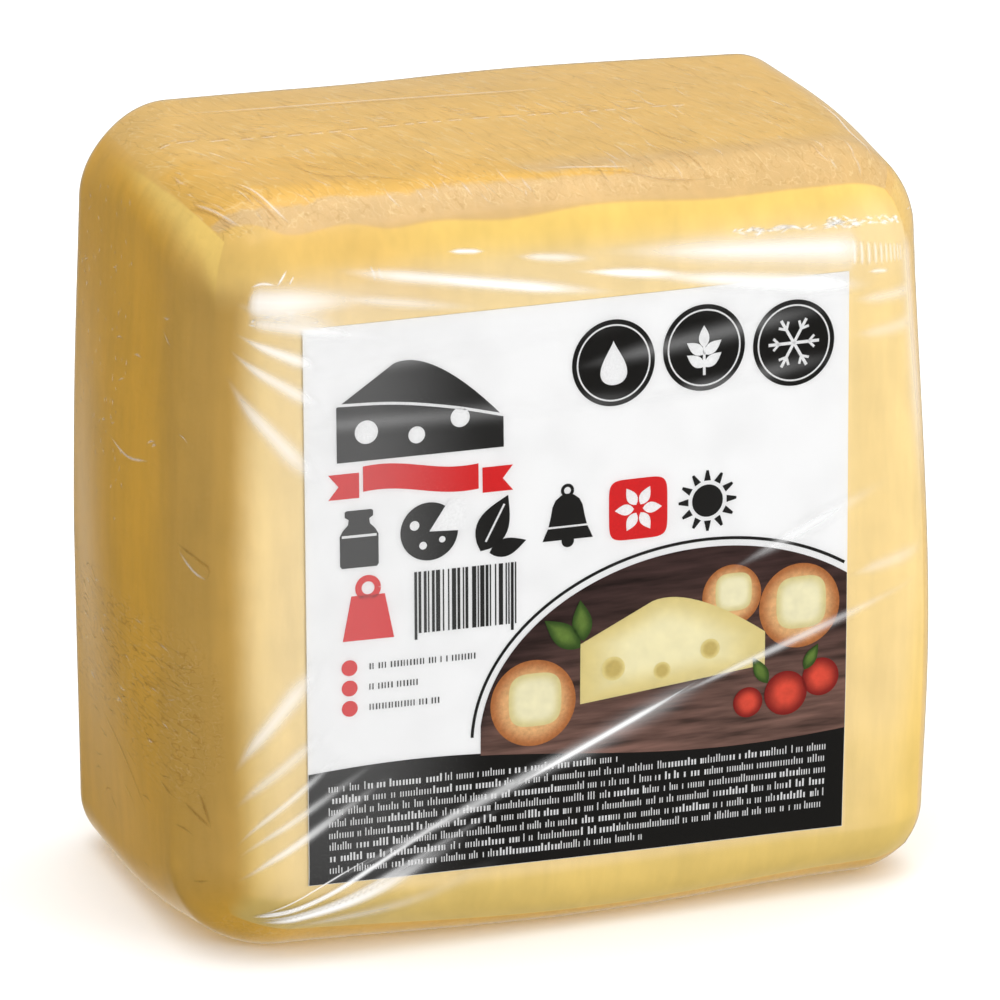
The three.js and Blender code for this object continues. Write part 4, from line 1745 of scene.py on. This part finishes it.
def left_folds() -> list[Fold]:
    """Gives the left side's fine marks: a few lines low down, and pale specks above."""
    face = Face.LEFT
    dark = Fold((), 0.55, 0.03, 0.28, 0.0, gloss=0.1)
    pale = Fold((), 0.6, 0.03, 0.28, 1.0, gloss=0.1)
    folds = scatter(face, (-30.0, 20.0), (-28.0, -9.0), 40, (2.5, 7.0), (2, 9), dark, 80, 0.15)
    folds += scatter(face, (-30.0, 20.0), (-28.0, -9.0), 20, (2.0, 6.0), (2, 9), pale, 82, 0.15)
    folds += scatter(face, (-6.0, 30.0), (2.0, 52.0), 110, (0.7, 1.5), (90, 30), pale, 83)
    folds += scatter(face, (-34.0, 26.0), (-50.0, -28.0), 16, (3.0, 8.0), (-4, 10), dark, 84)
    folds += scatter(face, (-34.0, 26.0), (0.0, 50.0), 14, (2.0, 5.0), (-8, 14), pale, 85)
    chosen = (
        (((1.0, 15.2), (-8.0, 14.4), (-17.0, 16.2)), 0.35, 1.0),
        (((-27.0, 7.0), (-33.0, 5.2), (-35.6, 4.0), (-34.5, 2.6)), 0.45, 0.0),
        (((-27.4, 6.0), (-32.0, 3.2), (-34.6, 2.6)), 0.35, 1.0),
        (((-27.0, -33.0), (-30.0, -34.6), (-33.8, -36.4)), 0.45, 0.0),
        (((-30.6, -30.6), (-32.0, -33.0), (-33.8, -36.2)), 0.4, 0.0),
        (((12.0, -30.0), (0.0, -33.5), (-12.0, -40.0)), 0.3, 0.0),
    )
    folds += [Fold(on(face, *path), 0.8, 0.04, milk, tone, gloss=0.1) for path, milk, tone in chosen]
    return folds


def back_and_right_folds() -> list[Fold]:
    """Gives the hidden sides' folds: a welded lap down the back, fans at the corners, creases."""
    dark = Fold((), 0.5, 0.06, 0.3, 0.0)
    pale = Fold((), 0.55, 0.06, 0.34, 1.0)
    heights = (56.0, 20.0, -20.0, -56.0)
    folds = [
        Fold(on(Face.BACK, *zip((1.5, 0.5, 1.0, 0.0), heights)), 1.4, 0.25, 0.4, 1.0, 0.05),
        Fold(on(Face.BACK, *zip((-5.5, -6.2, -5.6, -6.5), heights)), 0.8, 0.12, 0.35, 0.0, 0.05),
    ]
    for face, half in ((Face.BACK, 52.0), (Face.RIGHT, 30.0)):
        for side in (-1, 1):
            for up in (-1, 1):
                for step in range(6):
                    turn = math.radians(18 + 11 * step)
                    inner, outer = 3.0 + step % 2, 14.0 + 5 * ((step * 7) % 3)
                    path = [
                        (side * (half - r * math.cos(turn)), up * (52.0 - r * math.sin(turn)))
                        for r in (inner, (inner + outer) / 2, outer)
                    ]
                    folds.append(Fold(on(face, *path), 1.8, 0.14, 0.3, 1.0, 0.5))
        for span, look, start in (((2.0, 6.0), dark, 90), ((1.5, 5.0), pale, 94)):
            sides = ((-half, half), (-50.0, 50.0))
            folds += scatter(face, *sides, 70, span, (60, 30), look, start + face.value[0])
    return folds


@dataclass
class Studio:
    """The floor, the lamps and the camera, in metres."""

    aim: Triple = (0.0, 0.0, 0.058)
    azimuth: float = 20.6
    elevation: float = 17.8
    distance: float = 1.221
    lens: float = 288.0
    aside: Pair = (0.0013, -0.0001)
    world: float = 1.16
    below: float = 1.03
    sheen: str = "FFEACC"

    def floor(self) -> bpy.types.Object:
        """Lays the pale floor."""
        spread = np.linspace(-6000, 6000, 13)
        x, y = np.meshgrid(spread, spread)
        points = np.stack([x.ravel(), y.ravel(), np.zeros(x.size)], -1)
        floor = make_piece("studio_floor", points, [grid_quads(13, 13)])
        floor.data.materials.append(StudioPaper().material())
        floor.visible_glossy = False
        floor.visible_diffuse = False
        return floor

    def lamp(self, name: str, at: Triple, size: Pair, power: float, glossy: bool) -> None:
        """Hangs a soft box that faces the block.

        Args:
            name: the lamp's name.
            at: its place.
            size: its width and height.
            power: its watts.
            glossy: whether the film mirrors it.
        """
        light = bpy.data.lights.new(name, "AREA")
        light.shape = "RECTANGLE"
        light.size, light.size_y = size
        light.energy = power
        lamp = bpy.data.objects.new(name, light)
        ahead = np.array(self.aim) - np.array(at)
        lamp.location = at
        lamp.rotation_euler = (
            math.atan2(math.hypot(ahead[0], ahead[1]), -ahead[2]),
            0.0,
            math.atan2(ahead[1], ahead[0]) - math.pi / 2,
        )
        lamp.visible_camera = False
        lamp.visible_glossy = glossy
        bpy.context.scene.collection.objects.link(lamp)

    def sky(self) -> None:
        """Gives even soft light all round, dark to the film's mirror so that it stays clear."""
        world = bpy.data.worlds.new("studio_air")
        world.use_nodes = True
        tree = world.node_tree
        tree.nodes.clear()
        mirrored = add_node(tree, "ShaderNodeLightPath").outputs["Is Glossy Ray"]
        ray = add_node(tree, "ShaderNodeTexCoord").outputs["Generated"]
        x, y, z = add_node(tree, "ShaderNodeSeparateXYZ", links={0: ray}).outputs
        strength = remap(tree, z, (-0.15, 0.15), (self.below, self.world))
        seen = add_node(
            tree, "ShaderNodeBackground", {"Color": linear("FFFFFF")}, {"Strength": strength}
        ).outputs[0]
        # The film mirrors a warm wall behind the block, which fades to the left and upwards
        wall = remap(tree, y, (-0.1, 0.4), (0.1, 1.0))
        rise = remap(tree, z, (-0.3, 0.3), (0.85, 0.5))
        aside = remap(tree, x, (-0.3, 0.1), (0.1, 1.0))
        sheen = reckon(tree, "MULTIPLY", reckon(tree, "MULTIPLY", wall, rise), aside)
        dark = add_node(
            tree, "ShaderNodeBackground", {"Color": linear(self.sheen)}, {"Strength": sheen}
        ).outputs[0]
        air = add_node(tree, "ShaderNodeMixShader", links={0: mirrored, 1: seen, 2: dark}).outputs[0]
        add_node(tree, "ShaderNodeOutputWorld", links={"Surface": air})
        bpy.context.scene.world = world

    def camera(self) -> None:
        """Sets the camera at the photograph's angle."""
        lens = bpy.data.cameras.new("camera")
        lens.lens = self.lens
        lens.sensor_width = 36.0
        lens.clip_start, lens.clip_end = 0.05, 50.0
        camera = bpy.data.objects.new("camera", lens)
        turn, rise = math.radians(self.azimuth), math.radians(self.elevation)
        back = np.array([-math.sin(turn) * math.cos(rise), -math.cos(turn) * math.cos(rise), math.sin(rise)])
        right = np.array([math.cos(turn), -math.sin(turn), 0.0])
        above = np.cross(back, right)
        middle = np.array(self.aim) + right * self.aside[0] + above * self.aside[1]
        camera.location = middle + back * self.distance
        camera.rotation_euler = (math.pi / 2 - rise, 0.0, -turn)
        bpy.context.scene.collection.objects.link(camera)
        bpy.context.scene.camera = camera

    def build(self) -> None:
        """Sets up the studio."""
        self.floor()
        self.sky()
        self.lamp("key", (1.05, -1.25, 0.3), (0.7, 0.4), 9.7, False)
        self.lamp("overhead", (0.0, -0.1, 1.3), (1.2, 1.0), 4.8, True)
        self.camera()
        stage = bpy.context.scene
        stage.view_settings.view_transform = "Standard"
        stage.cycles.max_bounces = 4
        stage.cycles.diffuse_bounces = 2
        stage.cycles.glossy_bounces = 1


def main() -> None:
    """Builds the pack piece by piece, then the studio."""
    logging.basicConfig(level=logging.INFO, format="%(name)s: %(message)s")
    pack = Pack()
    label = FrontLabel(pack)
    CheeseBlock(pack).build(label)
    label.build()
    film = FilmSkin(pack, label)
    film.build()
    # The front's painted highlights: soft streaks and crisp glints, flat and milky, for reflections of the
    # light
    FilmFolds(pack, film, "film_painted_glare_front", front_painted_glare(), 11, 0.9, 0.003).build()
    FilmFolds(pack, film, "film_painted_glints_front", front_painted_glints(), 5, 0.4, 0.0002).build()
    FilmFolds(pack, film, "film_creases_top", top_folds(), 5).build()
    FilmFolds(pack, film, "film_creases_left", left_folds(), 5).build()
    FilmFolds(pack, film, "film_creases_hidden", back_and_right_folds(), 5).build()
    Studio().build()


if __name__ == "__main__":
    main()
